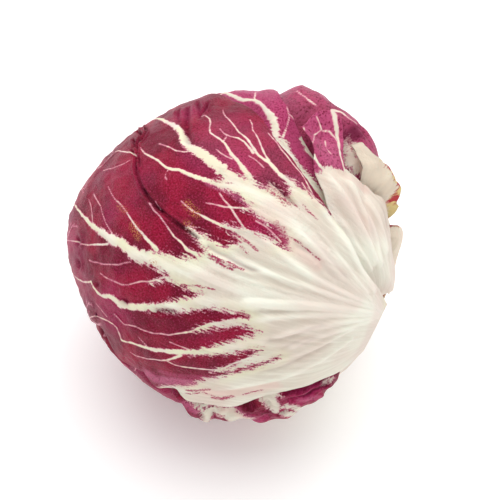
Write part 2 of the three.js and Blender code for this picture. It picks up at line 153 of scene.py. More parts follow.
# A crest on the far side of the head, under the wing leaf: polar angle and azimuth of its top,
# height and spread towards the front, with one spread towards the back
CREST = [
    (49, -34, 0, 6), (55, -33, 6, 6), (60, -32, 8.5, 6), (65, -32, 10, 6), (70, -34, 10, 6),
    (76, -33, 9.5, 6), (80, -35, 9.5, 8), (85, -42, 9.5, 15), (91, -46, 9, 18), (97, -46, 3.5, 18),
    (104, -46, 0, 18),
]
CREST_BACK = 30


# Small tools

def smooth(value, low, high):
    t = np.clip((value - low) / (high - low), 0, 1)
    return t * t * (3 - 2 * t)


def bell(distance, spread):
    return np.exp(-(distance / spread) ** 2)


def unit(places):
    """Directions of places given as polar angle and azimuth."""
    polar, azimuth = np.radians(np.atleast_2d(np.asarray(places, float))).T[:, :, None]
    return np.cos(polar) * AXIS + np.sin(polar) * (np.sin(azimuth) * SIDE + np.cos(azimuth) * ABOVE)


def polar_of(dirs):
    return np.degrees(np.arccos(np.clip(dirs @ AXIS, -1, 1)))


def azimuth_of(dirs):
    return np.degrees(np.arctan2(dirs @ SIDE, dirs @ ABOVE))


def angle_to(dirs, place):
    return np.degrees(np.arccos(np.clip(dirs @ unit(place)[0], -1, 1)))


def turn_between(azimuth, start):
    """The shorter way round from one azimuth to another, in radians."""
    return np.radians((azimuth - start + 180) % 360 - 180)


def perlin(points, scale, seed=0.0):
    """Smooth noise from about -1 to 1; scale is the size of its lumps."""
    shifted = np.asarray(points, float) / scale + seed * 7.31
    return np.array([noise.noise(Vector(point)) for point in shifted])


def smooth_curve(points, fractions):
    """Points at the given fractions of the length of a smooth curve through points."""
    p = np.asarray(points, float)
    padded = np.vstack([p[:1], p, p[-1:]])
    t = np.linspace(0, len(p) - 1, 400)
    i = np.minimum(t.astype(int), len(p) - 2)
    w = (t - i)[:, None]
    before, start, end, after = (padded[i + k] for k in range(4))
    leave, arrive = (end - before) / 2, (after - start) / 2
    curve = ((2 * start - 2 * end + leave + arrive) * w ** 3
             + (-3 * start + 3 * end - 2 * leave - arrive) * w ** 2 + leave * w + start)
    walked = np.r_[0, np.cumsum(np.linalg.norm(np.diff(curve, axis=0), axis=1))]
    at = np.asarray(fractions) * walked[-1]
    return np.stack([np.interp(at, walked, column) for column in curve.T], 1)


def even_curve(points, count):
    return smooth_curve(points, np.linspace(0, 1, count))


def spread_out(values, share):
    """Values given at even steps, read at a share of the way from the first to the last."""
    return np.interp(share, np.linspace(0, 1, len(values)), values)


def nearest(points, line):
    """Distance from each point to a line, and how far along the line it is nearest."""
    best = np.full(len(points), np.inf)
    along = np.zeros(len(points))
    walked = 0.0
    for start, end in zip(line[:-1], line[1:]):
        step = end - start
        span = math.hypot(*step)
        t = np.clip((points - start) @ step / max(span * span, 1e-9), 0, 1)
        distance = np.hypot(*(points - start - t[:, None] * step).T)
        closer = distance < best
        best = np.where(closer, distance, best)
        along = np.where(closer, walked + t * span, along)
        walked += span
    return best, along


def inside(points, loop):
    x, y = points.T
    result = np.zeros(len(points), bool)
    for (ax, ay), (bx, by) in zip(loop, np.roll(loop, 1, axis=0)):
        crosses = (ay > y) != (by > y)
        slope = (bx - ax) / (by - ay) if by != ay else 0.0
        result ^= crosses & (x < ax + slope * (y - ay))
    return result


def depth_in(points, loop):
    """Distance inside a closed loop, negative outside."""
    distance, _ = nearest(points, np.vstack([loop, loop[:1]]))
    return np.where(inside(points, loop), distance, -distance)


class HeadMap:
    """A flat map of the head round one place: x away from the stem, y towards higher azimuths."""

    def __init__(self, place):
        polar, azimuth = place
        self.centre, self.outward = unit([place, (polar + 90, azimuth)])
        self.across = np.cross(self.outward, self.centre)
        if self.across @ unit((90, azimuth + 90))[0] < 0:
            self.across = -self.across

    def flatten(self, dirs):
        angle = np.arccos(np.clip(dirs @ self.centre, -1, 1))
        flat = np.stack([dirs @ self.outward, dirs @ self.across], 1)
        return flat * (angle * HEAD_RADIUS / np.maximum(np.hypot(*flat.T), 1e-9))[:, None]

    def lift(self, points):
        length = np.maximum(np.hypot(*points.T), 1e-9)[:, None]
        angle = length / HEAD_RADIUS
        tangent = (points[:, :1] * self.outward + points[:, 1:] * self.across) / length
        return np.cos(angle) * self.centre + np.sin(angle) * tangent


# The leaves, from the innermost to the outermost, with the margins of the CAD part. Places are a
# polar angle and an azimuth. "root" is from where to where round the stem a leaf begins, "low",
# "tip" and "high" are its sides, "wave" the height and length of the waves of its margin, "slack"
# the room that it takes up besides its thickness, "lifts" where its margin stands away (place,
# height, spread), and "fan" the turns of its ribs where the photograph hides it.

LEAVES = [
    dict(name="leaf_rear", grid=(150, 150), centre=(88, 255), root=(205, 305),
         low=[(40, 192), (75, 186), (110, 180), (138, 176)],
         tip=[(160, 190), (166, 250), (158, 305)],
         high=[(40, 318), (75, 322), (105, 326), (135, 322)],
         wave=(1.2, 24), slack=0.3, fan=(-52, -27, 0, 27, 52),
         lifts=[((150, 190), 2.0, 24)]),
    dict(name="leaf_back", grid=(150, 150), centre=(86, 215), root=(165, 262),
         low=[(40, 158), (75, 150), (110, 150), (138, 158)],
         tip=[(158, 185), (160, 225), (146, 262)],
         high=[(40, 268), (72, 273), (100, 274), (125, 272)],
         wave=(1.3, 22), slack=0.3, fan=(-50, -26, 0, 26, 50),
         lifts=[((100, 272), 3.0, 30), ((60, 268), 1.8, 18)]),
    dict(name="leaf_under", grid=(150, 150), centre=(84, 160), root=(112, 206),
         low=[(40, 100), (75, 88), (105, 84), (132, 92)],
         tip=[(150, 118), (156, 165), (146, 208)],
         high=[(40, 214), (72, 222), (100, 226), (126, 222)],
         wave=(1.4, 21), slack=0.8, fan=(-38, -18, 4, 26, 50),
         lifts=[((95, 226), 3.2, 26), ((140, 205), 2.2, 18)]),
    dict(name="leaf_wing", grid=(240, 230), centre=(84, 278), root=(252, 322),
         low=[(36, 244), (64, 236), (92, 236), (118, 246)],
         tip=[(134, 270), (132, 300), (116, 326)],
         high=[(34, 300), (46, 318), (54, 332), (62, 344), (74, 350), (90, 350), (105, 342)],
         wave=(0.8, 26), slack=0.4, fan=(-48, -30, -12, 6),
         lifts=[((92, 238), 4.0, 22), ((128, 290), 2.4, 20)]),
    dict(name="leaf_cream", grid=(120, 120), centre=(42, 318), root=(270, 350),
         low=[(20, 290), (30, 312), (36, 328.5), (39.5, 328.5), (43, 328.5), (47, 325.5), (51, 329),
              (56, 331), (60, 332.6)],
         tip=[(63, 332.2), (64.8, 331.8), (66.4, 332.2)],
         high=[(26, 352), (36, 350), (44, 343), (50, 338), (54, 336), (58, 336), (61.4, 335.6),
               (64.3, 333.8)],
         wave=(0.3, 15), slack=0.4,
         lifts=[((46, 327), 9.3, 13), ((56, 331), 4.5, 9), ((34, 318), 4, 12)]),
    dict(name="leaf_skirt", grid=(230, 150), centre=(66, 98), root=(78, 110),
         low=[(30, 74), (54, 72), (80, 72), (100, 76)],
         tip=[(106, 84), (103, 95), (96, 105)],
         high=[(24, 109), (27.5, 116), (32, 121), (38, 117), (42, 118), (46, 121), (54, 124), (60, 117),
               (68, 117), (72, 114.5), (75.5, 121), (79, 114), (83, 108.5), (88, 103)],
         wave=(1.0, 11), slack=0.4,
         lifts=[((48, 124), 4.0, 17), ((76, 118), 3.0, 16), ((98, 100), 1.6, 12)]),
    dict(name="leaf_top", grid=(170, 150), centre=(88, 356), root=(322, 390),
         low=[(24, 346), (34, 354), (50, 354), (64, 352), (73, 345), (82, 338), (92, 333), (99, 320)],
         tip=[(109, 304), (130, 306), (143, 332), (130, 374)],
         high=[(34, 396), (60, 404), (92, 402)],
         wave=(0.8, 24), slack=0.5,
         lifts=[((98, 326), 2.0, 14)]),
    dict(name="leaf_crown", grid=(190, 150), centre=(52, 345), root=(310, 384),
         low=[(22, 330), (27, 335), (32.3, 337.5), (36.6, 333.5), (42, 334.5), (46, 333), (49.6, 337),
              (53, 337), (57.3, 341), (63.1, 343), (66.3, 340), (69.7, 333.5), (73.1, 331)],
         tip=[(77.8, 330.5), (81, 333), (82.6, 340)],
         high=[(34, 384), (50, 370), (62, 360), (71, 353), (76, 347)],
         wave=(0.6, 15), slack=0.6,
         lifts=[((79, 331), 3.0, 11), ((79, 345), 3.6, 9), ((69, 341), 3.5, 9), ((44, 337), 3.0, 9),
                ((58, 346), 1.8, 9)]),
    dict(name="leaf_front", grid=(300, 300), centre=(88, 43), root=(8, 104),
         low=[(24, 14), (36, 14), (51, 8), (65, 3), (76, -3), (87, -9), (97, -19), (109, -28), (122, -38)],
         tip=[(143, -60), (156, -120), (158, -190), (146, -228)],
         high=[(20, 97), (29.2, 90.9), (37.9, 88.7), (45.8, 88.2), (53.3, 92.1), (60.1, 96.5),
               (64.3, 101.6), (68.2, 104.8), (77, 103), (81.2, 103.9), (83.9, 101.3), (86, 98),
               (89.1, 100), (93.2, 105), (96, 101.5), (98.2, 97.5), (101.5, 100), (109.5, 106),
               (112.5, 102.5), (117, 98), (122, 97), (130, 108), (138, 124)],
         wave=(0.7, 23), slack=0.8,
         lifts=[((40, 95), 1.4, 14)]),
]

# What the photograph shows, in its pixels. A vein is its widths from end to end, in pixels,
# its line, and places on the head that lead it on past the outline.

FRONT_VEINS = [
    ((2, 4, 5, 9, 11, 12, 14, 16, 18, 20, 20),
     [(145, 120.6), (152, 118), (159, 119), (166, 121.6), (172, 124.7), (179, 130), (183.5, 136),
      (184.5, 142), (190.6, 148), (200, 153), (211, 161), (230, 177), (250, 192), (290, 220),
      (330, 262), (375, 310)], [(152, -72), (148, -48)]),
    ((0.8, 1.4), [(159, 143.6), (172, 148.7), (180.4, 152), (190.6, 152)]),
    ((1.2, 2, 2.2, 2.6, 4, 5, 6, 9),
     [(140.6, 148), (144.7, 153), (152, 157), (160, 162.4), (168, 169), (177, 169.6), (187.6, 173.7),
      (198, 178), (208, 181), (220, 185), (230, 187), (250, 193)]),
    ((0.8, 0.5), [(168, 170.6), (165, 175.7), (167, 179.8)]),
    ((1.2, 1.4, 1.6, 2),
     [(97.8, 168.6), (103, 164.5), (111, 156), (117, 151), (125, 152), (133.5, 153), (135.5, 155)],
     [(158, -72), (163, -45), (160, -22)]),
    ((0.7, 0.9), [(103, 170.6), (113, 168), (123, 164.5), (130, 160)]),
    ((2, 4, 9, 12, 12, 12, 12, 14, 16, 18),
     [(75, 205), (80, 212), (86.5, 219.6), (93.7, 226.7), (104, 234), (111, 239), (121, 243), (139, 256),
      (150, 258), (175.5, 267), (201, 276), (226.5, 285), (252, 291), (290, 299), (328.6, 305),
      (380, 313)], [(161, -170), (171, -178), (176, 110), (170, 62)]),
    ((1, 1.5, 2.4), [(73, 241), (76, 242), (85.5, 245), (95.7, 245), (108, 244)],
     [(156, 172), (163, 150), (162, 115)]),
    ((0.4, 0.6, 0.8), [(88.6, 199), (91.6, 207), (92.7, 221.6)]),
    ((0.5, 0.7, 0.8, 1.2), [(93.7, 194), (99.8, 205), (104, 218.6), (111, 231.8), (113, 234)]),
    ((0.5, 1, 1.3, 2.2, 4),
     [(108, 186.4), (115, 199), (125, 209.4), (133.5, 222.7), (141.6, 233), (151.8, 243), (157, 250)]),
    ((0.5, 1, 1.3, 2, 3.4),
     [(149.8, 203), (154, 210.4), (163, 219.6), (170, 231.8), (180.4, 242), (188.6, 250), (196, 254)]),
    ((0.8, 0.5), [(156, 202), (159, 208)]),
    ((1, 1.4, 2.4, 3, 6), [(181, 201), (192, 210), (205, 218), (221, 225), (232, 229), (252, 234)]),
    ((0.7, 1, 1.7, 1.2, 1.4), [(206, 203), (227, 207), (232, 207), (251, 209), (270, 215)]),
    ((0.7, 0.9, 1.8, 2.2, 1.5, 1),
     [(219.5, 193), (219.5, 196), (229, 204), (232, 212), (237, 216), (246, 231)]),
    ((0.6, 0.9, 1.2), [(256, 221), (268, 229), (281, 242)]),
    ((0.8, 1.8, 2, 2.5, 4, 6),
     [(201, 114.5), (210, 119.6), (209.5, 131), (214, 136), (223, 142), (231, 153), (243, 168),
      (250, 178)]),
    ((0.8, 1.6, 2, 3, 4, 6, 8),
     [(223, 110), (224, 115), (233, 124), (240, 133), (246, 137), (252, 146), (259, 156), (269, 163),
      (280, 174), (300, 192), (325, 212)]),
    ((0.8, 1, 1.8, 2, 3), [(220, 129), (227, 136), (237, 137), (245, 143), (253, 153)]),
    ((1, 1), [(227, 136), (223, 142)]),
    ((1.2, 1, 1.5, 1.8, 2.5), [(250, 120), (252, 121), (253, 130), (259, 141), (264, 154), (269, 161)]),
    ((0.7, 1), [(216, 149), (224, 155), (232, 159)]),
    ((0.7, 1), [(249, 156), (257, 161), (264, 168)]),
    ((1.5, 2.5, 3), [(269, 181), (275, 186), (290, 202), (310, 222), (325, 240)]),
    ((0.8, 2, 3), [(302, 182.7), (309, 194), (320, 209)]),
    ((0.8, 1.2, 1.4), [(268, 133), (279, 146), (288, 158), (300, 172), (307, 183), (313, 194)]),
    ((1.2, 2, 2, 4, 6, 6, 7, 8, 10, 12),
     [(72, 273), (84, 282), (92, 282), (94, 287), (102, 296), (111, 296), (120, 304), (131, 307),
      (150, 306.5), (175.5, 305), (201, 301), (226.5, 303), (265, 305)], [(148, 140), (150, 122)]),
    ((0.4, 0.7), [(89, 260), (103, 264), (120, 264), (131, 262)]),
    ((0.5, 0.7, 0.9, 2),
     [(100, 273), (111, 280), (124, 285), (139, 282), (150, 281), (163, 278), (172, 277)]),
    ((0.8, 0.6), [(95.7, 303), (107, 316.5)]),
    ((0.6, 0.9, 1, 1.2, 2, 4, 6),
     [(114, 314), (124, 324), (135, 326), (150, 332.6), (169, 334.5), (188, 332), (203.6, 326),
      (226.5, 322), (246, 320.5)]),
    ((1.2, 1.8, 2, 3, 4.5, 6, 6, 7, 8),
     [(95, 316), (108, 321), (117, 328), (122, 340), (131, 342), (150, 348.6), (169, 351), (192, 352),
      (214, 350), (233, 346), (252, 341), (265, 339.6)], [(136, 128), (133, 119)]),
    ((0.6, 0.6), [(138.6, 337), (147.8, 347)]),
    ((0.6, 0.8), [(170, 342), (192, 350)]),
    ((0.8, 1.2, 1.6, 3), [(130, 352), (139, 357), (150, 359), (166.6, 360), (181, 355)]),
    ((1, 1.4, 1.6, 2, 3, 4),
     [(166.6, 360.7), (175.5, 365), (192, 368), (219, 369), (239, 361), (265, 355), (280, 351)]),
]

# Outline of the pale base of the front leaf, with the purple tongues that reach into it
FRONT_BASE = [
    (312, 197), (308, 190), (304, 190), (300, 189), (295, 182), (289, 176), (285, 177), (286, 184),
    (290, 193), (286, 197), (281, 192), (275, 187), (270, 184), (266, 188), (259, 186), (252, 178),
    (249, 175), (245, 179), (238, 175), (228, 170), (222, 170), (220, 175), (223, 179), (215, 181),
    (216, 187), (226, 191), (237, 195), (246, 201), (250, 207), (243, 208), (250, 212), (257, 216),
    (264, 222), (272, 224), (280, 231), (285, 240), (288, 249), (279, 245), (268, 236),
    (257, 232), (247, 230), (241, 229), (232, 226), (224, 224), (221, 227), (228, 229), (233, 233),
    (237, 241), (227, 246), (217, 243), (209, 238), (197, 231), (190, 226), (186, 228), (192, 236),
    (199, 243), (206, 250), (200, 254), (194, 252), (190, 250), (194, 257), (186, 258), (178, 257),
    (166, 253), (158, 253), (150, 252), (142, 260), (136, 261), (148, 263), (158, 269), (168, 276),
    (158, 280), (150, 283), (168, 281), (180, 286), (200, 294), (178, 300), (156, 304), (146, 306),
    (150, 312), (162, 311), (178, 313), (203, 309), (215, 309), (237, 313), (248, 317), (232, 321),
    (206, 325), (192, 331), (206, 330), (221, 328), (240, 326), (258, 332), (240, 338), (214, 346),
    (196, 350), (190, 354), (214, 354), (232, 354), (252, 350), (262, 349), (247, 358), (232, 366),
    (218, 368), (212, 371), (232, 370), (250, 366), (279, 357), (262, 365), (240, 371), (220, 376),
    (204, 379), (196, 383), (188, 385.5), (176, 385), (164, 385.5), (156, 387.5), (158, 391), (168, 390),
    (178, 397), (186, 402), (185, 408),
]
FRONT_BASE_END = [(60, 112), (30, 116), (8, 110), (6, 60), (8, 6), (26, 4), (44, 2)]

# Purple streaks in the pale base: strength, width in pixels, line
FRONT_STREAKS = [
    (0.7, 2.0, [(211, 181), (222, 183), (233, 183.6)]),
    (0.8, 2.2, [(303, 178), (307, 190), (311, 199)]),
    (0.7, 9.0, [(270, 190), (278, 195), (287, 204)]),
    (0.8, 2.0, [(287, 195), (293, 202), (300, 210)]),
    (0.75, 3.0, [(303, 206), (310, 213), (317, 219)]),
    (0.7, 7.0, [(276, 224), (283, 230), (287, 242)]),
    (0.8, 2.0, [(287, 236), (300, 243), (320, 260)]),
    (0.9, 3.0, [(234, 233), (246, 241), (257, 250)]),
    (0.8, 3.0, [(240, 246), (248, 253)]),
    (0.9, 6.0, [(210, 256), (222, 263), (232, 268)]),
    (0.8, 3.0, [(228, 262), (243, 270)]),
    (0.8, 2.5, [(182, 285), (198, 286), (214, 289)]),
    (0.8, 2.5, [(238, 312), (250, 316)]),
    (0.9, 4.0, [(168, 391), (176, 396), (183, 400)]),
    (0.9, 4.0, [(187, 390), (198, 390.5), (210, 389)]),
    (0.85, 3.0, [(186, 393.3), (199, 392.7)]),
    (0.95, 6.0, [(213, 397), (222, 398.5), (232, 396)]),
    (0.8, 3.0, [(203, 392), (214, 396)]),
    (0.85, 2.5, [(243, 394), (253, 391.5), (263, 390)]),
]

# Creases and grooves of the front leaf: depth, half width, strength of the painted shade laid in them, and
# line
FRONT_CREASES = [
    (1.6, 0.42, 1.0, [(137, 146), (137, 152), (135.3, 160), (136, 170), (140, 183), (146, 193.6),
                       (153.8, 204), (162.7, 212), (176, 223), (190.6, 233), (203, 242)]),
    (1.0, 0.6, 0.6, [(203, 242), (216, 252), (226.5, 257), (239, 264), (252, 269.5), (263.5, 272)]),
    (0.9, 0.4, 0.8, [(139, 152), (139, 160), (140.6, 168.6)]),
    (1.8, 0.5, 0.9, [(140, 125), (146.5, 131), (143, 139), (137.5, 143), (137.5, 152)]),
    (1.4, 0.5, 0.9, [(136, 130), (141, 134), (139, 140), (134, 146)]),
    (1.2, 0.5, 0.8, [(132, 138), (134, 143), (134, 150)]),
    (1.2, 0.4, 0.7, [(129, 148), (133, 152), (134, 159)]),
    (1.0, 0.5, 0.8, [(266, 176), (270, 181.5), (277.6, 186.6), (284, 194), (300.5, 209.5)]),
    (0.6, 0.9, 0.2, [(291.6, 243), (309.4, 251.6), (319.6, 260.6), (328.6, 271), (341, 282)]),
    (0.6, 0.9, 0.2, [(260, 345), (271, 341), (290, 337), (303, 331), (328.6, 322)]),
    (0.5, 0.9, 0.15, [(277.6, 352), (290, 345), (303, 340), (322, 336)]),
    (1.2, 1.1, 0.6, [(188, 106), (186.5, 118), (186.5, 130), (188, 140), (193, 147)]),
    (1.1, 0.6, 0.7, [(209, 101), (205, 109), (201, 115)]),
    (0.9, 0.9, 0.45, [(197, 101), (200, 112), (199, 122)]),
    (0.8, 0.8, 0.4, [(180, 108), (178, 116), (181, 126)]),
    (0.5, 0.8, 0.3, [(306, 182), (320, 200), (335, 219), (347, 234)]),
    (0.4, 0.7, 0.25, [(292.7, 348.7), (306, 342), (321, 335.6)]),
    (0.4, 0.7, 0.2, [(299, 226), (315, 243), (333, 263), (350, 281)]),
    (0.4, 0.7, 0.2, [(246, 312), (275, 312), (310, 313)]),
    (0.4, 0.7, 0.2, [(250, 375), (280, 368), (312, 353), (335, 340)]),
    (1.6, 1.1, 0.9, [(76, 235), (78, 241), (76, 247)]),
    (1.5, 1.0, 0.8, [(76, 259), (79, 264), (77, 269)]),
    (1.2, 0.9, 0.8, [(98, 290), (96, 286), (101, 283)]),
    (1.0, 1.1, 0.8, [(117, 301), (124, 302), (132, 306)]),
    (1.0, 0.9, 0.7, [(150, 312), (166, 311), (182, 315)]),
]

# Ridges of the pale base of the front leaf, running together at the stem
FRONT_RIBS = [
    ((5, 7, 7), [(300, 192), (325, 212), (350, 245), (374, 290)]),
    ((2, 4, 5), [(310, 222), (335, 252), (366, 294)]),
    ((2, 4, 5), [(320, 209), (345, 240), (372, 284)]),
    ((3, 4, 5, 6), [(187, 226), (205, 245), (226.5, 258), (246, 266), (265, 272), (300, 285), (340, 298),
                    (376, 309)]),
    ((3, 5, 6), [(252, 234), (270, 245), (290, 262), (320, 282), (372, 306)]),
    ((2, 3, 5), [(290, 225), (310, 240), (335, 265), (370, 300)]),
    ((8, 8, 7), [(230, 304), (265, 303), (320, 306), (378, 312)]),
    ((4, 5, 5), [(246, 320), (290, 316), (330, 314), (378, 314)]),
    ((5, 5, 5), [(265, 339.6), (300, 330), (340, 322), (378, 316)]),
    ((3, 4, 5), [(280, 351), (310, 340), (345, 328), (378, 317)]),
    ((2, 3, 3, 3), [(200, 390), (240, 386), (280, 378), (320, 360), (352, 338)]),
    ((2, 3, 3, 3), [(262, 366), (290, 357), (320, 345), (352, 328)]),
    ((2, 3, 3), [(200, 262), (235, 277), (280, 290), (330, 302)]),
]

# Softly tinted places of the front leaf: share, width in pixels, line
FRONT_TINTS = [
    (0.85, 14.0, [(148, 374), (158, 381), (176, 381), (190, 383)]),
    (0.35, 6.0, [(160, 372), (190, 377), (210, 379)]),
    (0.75, 12.0, [(206, 392), (222, 393), (250, 390), (275, 385)]),
    (0.5, 8.0, [(244, 393), (262, 391), (280, 386)]),
    (0.7, 14.0, [(290, 243), (302, 253), (316, 264)]),
    (0.6, 5.0, [(208, 184), (224, 190), (244, 202), (262, 215)]),
    (0.4, 12.0, [(250, 205), (270, 218), (285, 232)]),
    (0.5, 6.0, [(296, 178), (306, 192), (316, 206)]),
    (0.26, 70.0, [(226, 138), (256, 152), (290, 185)]),
    (0.25, 40.0, [(70, 215), (72, 245), (84, 290)]),
]
FRONT_SPECKS = [
    (1.0, 8.0, [(187, 204), (192, 210), (197, 214)]),
    (1.0, 9.0, [(133, 226), (136, 231), (138, 236)]),
    (0.8, 7.0, [(187, 224), (191, 229)]),
    (0.7, 6.0, [(118, 206), (126, 211)]),
    (0.6, 5.0, [(152, 262), (156, 262)]),
]

# The leaf behind the upper right margin of the front one
TOP_VEINS = [
    ((1, 14, 12, 3), [(304, 130), (306, 141), (309, 149), (315, 160)]),
    ((3, 3.5, 4, 3, 2.5, 6, 8, 8, 7, 6),
     [(216, 88), (224, 89), (230, 95), (240, 100), (253, 100), (264, 108), (270, 116), (274, 124),
      (275, 133), (277, 142), (290, 160), (310, 186)], [(140, -35)]),
    ((1.2, 2), [(256, 92), (254, 100)]),
    ((0.8, 1.5, 2.5), [(287, 106.8), (290.3, 114.8), (286, 128), (281.8, 139.8)]),
    ((0.6, 0.7), [(290.3, 114.8), (303, 128)]),
]
TOP_BASE = [(275, 139), (284, 139), (289, 144), (291, 151), (296, 160), (330, 200), (400, 300),
            (330, 300), (284, 172)]

# The pale-based leaf with the purple flap
CROWN_VEINS = [
    ((0.5, 4, 4, 2, 1.6, 2, 3, 5),
     [(304, 127), (305, 137), (309, 146), (311.5, 152), (319.8, 164.6), (326.4, 175), (338, 190),
      (360, 225)]),
    ((0.6, 1.2), [(316.5, 116.5), (321.5, 129.8)]),
    ((1.2, 1.0), [(321.5, 129.8), (329.8, 131.4), (333.9, 136.4), (338, 143)]),
    ((1.2, 0.9, 0.6), [(321.5, 129.8), (314.8, 133.9), (312, 144.7)]),
    ((3.4, 3.4, 2.4, 2, 1.6, 1.6, 2),
     [(332, 110), (335, 118), (338, 136), (339.3, 150), (343.8, 169.6), (352, 190)]),
    ((1.0, 0.8), [(325, 141), (326, 147)]),
    ((0.8, 0.6), [(327, 149), (331, 154)]),
]
CROWN_BASE = [(296, 154), (299, 160), (304, 166), (310, 169.5), (317, 173), (320.5, 172), (322, 167),
              (327, 165.5), (334, 168), (342, 170.5), (350, 166), (400, 200), (400, 300), (330, 260),
              (290, 180)]

# The leaf whose margin stands away at the upper right
WING_VEINS = [
    ((0.6, 1.2, 1.6, 1.8), [(295.8, 90.8), (301.6, 95), (309, 100.7), (316.5, 105.7)]),
    ((3.0, 2.6, 1.4, 0.8), [(332, 110.5), (341, 112), (350, 119), (357, 124)]),
]
WING_BASE = [(341, 146), (343, 141), (346, 138), (350, 141), (353, 143), (357, 155), (366, 175), (374, 193),
             (352, 176), (344, 166)]
WING_STREAKS = [
    (1.0, 2.0, [(349, 138), (350, 143), (352, 150)]),
    (0.8, 1.5, [(345, 139), (346, 146)]),
]
WING_TINTS = [
    (0.5, 60.0, [(292, 96), (325, 112), (352, 128), (374, 152)]),
]
# Painted shade in the pocket under the wing's folded margin: depth, half width, shade and line; those with
# no depth are painted shade alone
WING_CREASES = [
    (0.0, 3.2, 0.6, [(338, 118), (341, 127), (342, 136)]),
    (0.0, 3.2, 0.85, [(345, 122), (352, 129), (358, 136), (364, 144)]),
    (0.8, 0.8, 0.6, [(357, 122), (365, 133), (371, 144)]),
    (0.0, 3.5, 0.3, [(296, 112), (300, 122), (303, 134)]),
]
# Ribs, creases with faint painted shade, and tints of the pale-based leaf
CROWN_RIBS = [
    ((5, 7, 8), [(322, 168), (338, 190), (356, 220), (372, 262)]),
    ((4, 6, 6), [(344, 172), (356, 196), (370, 226), (380, 262)]),
    ((3, 5, 6), [(358, 184), (370, 204), (380, 228), (386, 250)]),
    ((4, 6, 6), [(306, 172), (325, 200), (345, 232), (368, 270)]),
]
CROWN_CREASES = [
    (0.5, 0.7, 0.2, [(363, 204), (370, 228), (377, 252)]),
    (0.4, 0.7, 0.2, [(342, 180), (358, 208), (370, 240)]),
    (0.5, 0.7, 0.25, [(378, 200), (385, 215), (389, 236)]),
]
CROWN_TINTS = [
    (0.7, 17.0, [(322, 144), (326, 150), (332, 160)]),
    (0.6, 10.0, [(336, 172), (350, 178), (366, 190)]),
    (0.4, 30.0, [(326, 180), (348, 196), (364, 216)]),
]
CREAM_RIBS = [
    ((3, 4, 4), [(361, 150), (372, 170), (384, 194), (391, 215)]),
]

# The crumpled leaf under the front one, with its white patches
SKIRT_BASES = [
    [(258.7, 398), (265, 395), (271, 393), (278, 393), (283, 397), (276, 398.5), (278.6, 403.3),
     (281, 406.3), (278.6, 411), (274.7, 413.2), (270, 410), (265, 406.3), (261, 401.7)],
    [(280, 408), (286, 405), (294, 405.5), (301.5, 406.5), (307, 404), (303, 410), (294, 412), (291.6, 409),
     (286, 408)],
    [(200, 411), (208, 408), (222, 407), (230, 409), (243, 414), (256, 418), (246, 421),
     (226, 419), (214, 416), (207, 424), (201, 424)],
    [(278, 414), (287, 413), (296, 411), (297, 416), (284, 416.5)],
    [(322, 382), (330, 377), (334, 378), (330, 382), (323, 385)],
    [(186, 399), (200, 402), (214, 404), (214, 407), (200, 408), (192, 405)],
]
SKIRT_STREAKS = [
    (0.8, 4.0, [(212, 418), (218, 415), (224, 417)]),
    (0.5, 2.0, [(262, 398), (264, 403), (270, 409)]),
]
SKIRT_TINTS = [
    (0.8, 9.0, [(184, 404), (190, 408), (196, 412)]),
    (0.7, 8.0, [(222, 409), (236, 412), (252, 417)]),
    (0.6, 6.0, [(300, 401), (312, 397), (326, 389)]),
]
# Painted shade in the slit under the front leaf's margin, on the leaf beneath it: depth, half width, shade
# and line
UNDER_CREASES = [
    (1.0, 1.3, 1.0, [(100, 326), (109, 338), (117, 351), (123, 360), (131, 367)]),
]
# Creases of the crumpled leaf: depth, half width, shade and line; those with no depth are painted shadow
# alone, under the front leaf's margin and in the folds
SKIRT_CREASES = [
    (0.5, 0.8, 1.0, [(283, 400), (293, 398.5), (303, 396.5), (311, 393.5), (319, 388), (333, 379)]),
    (0.0, 2.0, 0.75, [(277, 394), (290, 391), (303, 388), (316, 383), (332, 375)]),
    (0.0, 2.4, 0.5, [(262, 409), (268, 413), (262, 417)]),
    (0.0, 3.2, 0.6, [(240, 408), (248, 409), (255, 413)]),
    (2.2, 1.0, 0.8, [(233, 407), (250, 402), (258, 399)]),
    (1.6, 0.9, 0.7, [(256, 400), (254.8, 404), (256, 411)]),
    (1.4, 0.7, 0.4, [(266, 397), (267, 402), (274, 409)]),
    (1.6, 0.8, 0.9, [(274, 414.7), (284, 412.5), (293, 411)]),
    (1.4, 0.8, 0.6, [(199, 410), (200, 415), (203, 421)]),
    (1.2, 0.8, 0.5, [(212, 408), (213, 414), (211, 420)]),
    (1.2, 0.8, 0.5, [(283, 400), (292, 401), (303, 397)]),
]

# What a leaf has unless its own lists say more
PLAIN = dict(fan=(), veins=(), ribs=(), bases=(), base_end=(), streaks=(), creases=(), tints=(), specks=(),
             fray=1.0, thin=0.3, crumple=1.0, green=0.5, torn=None)

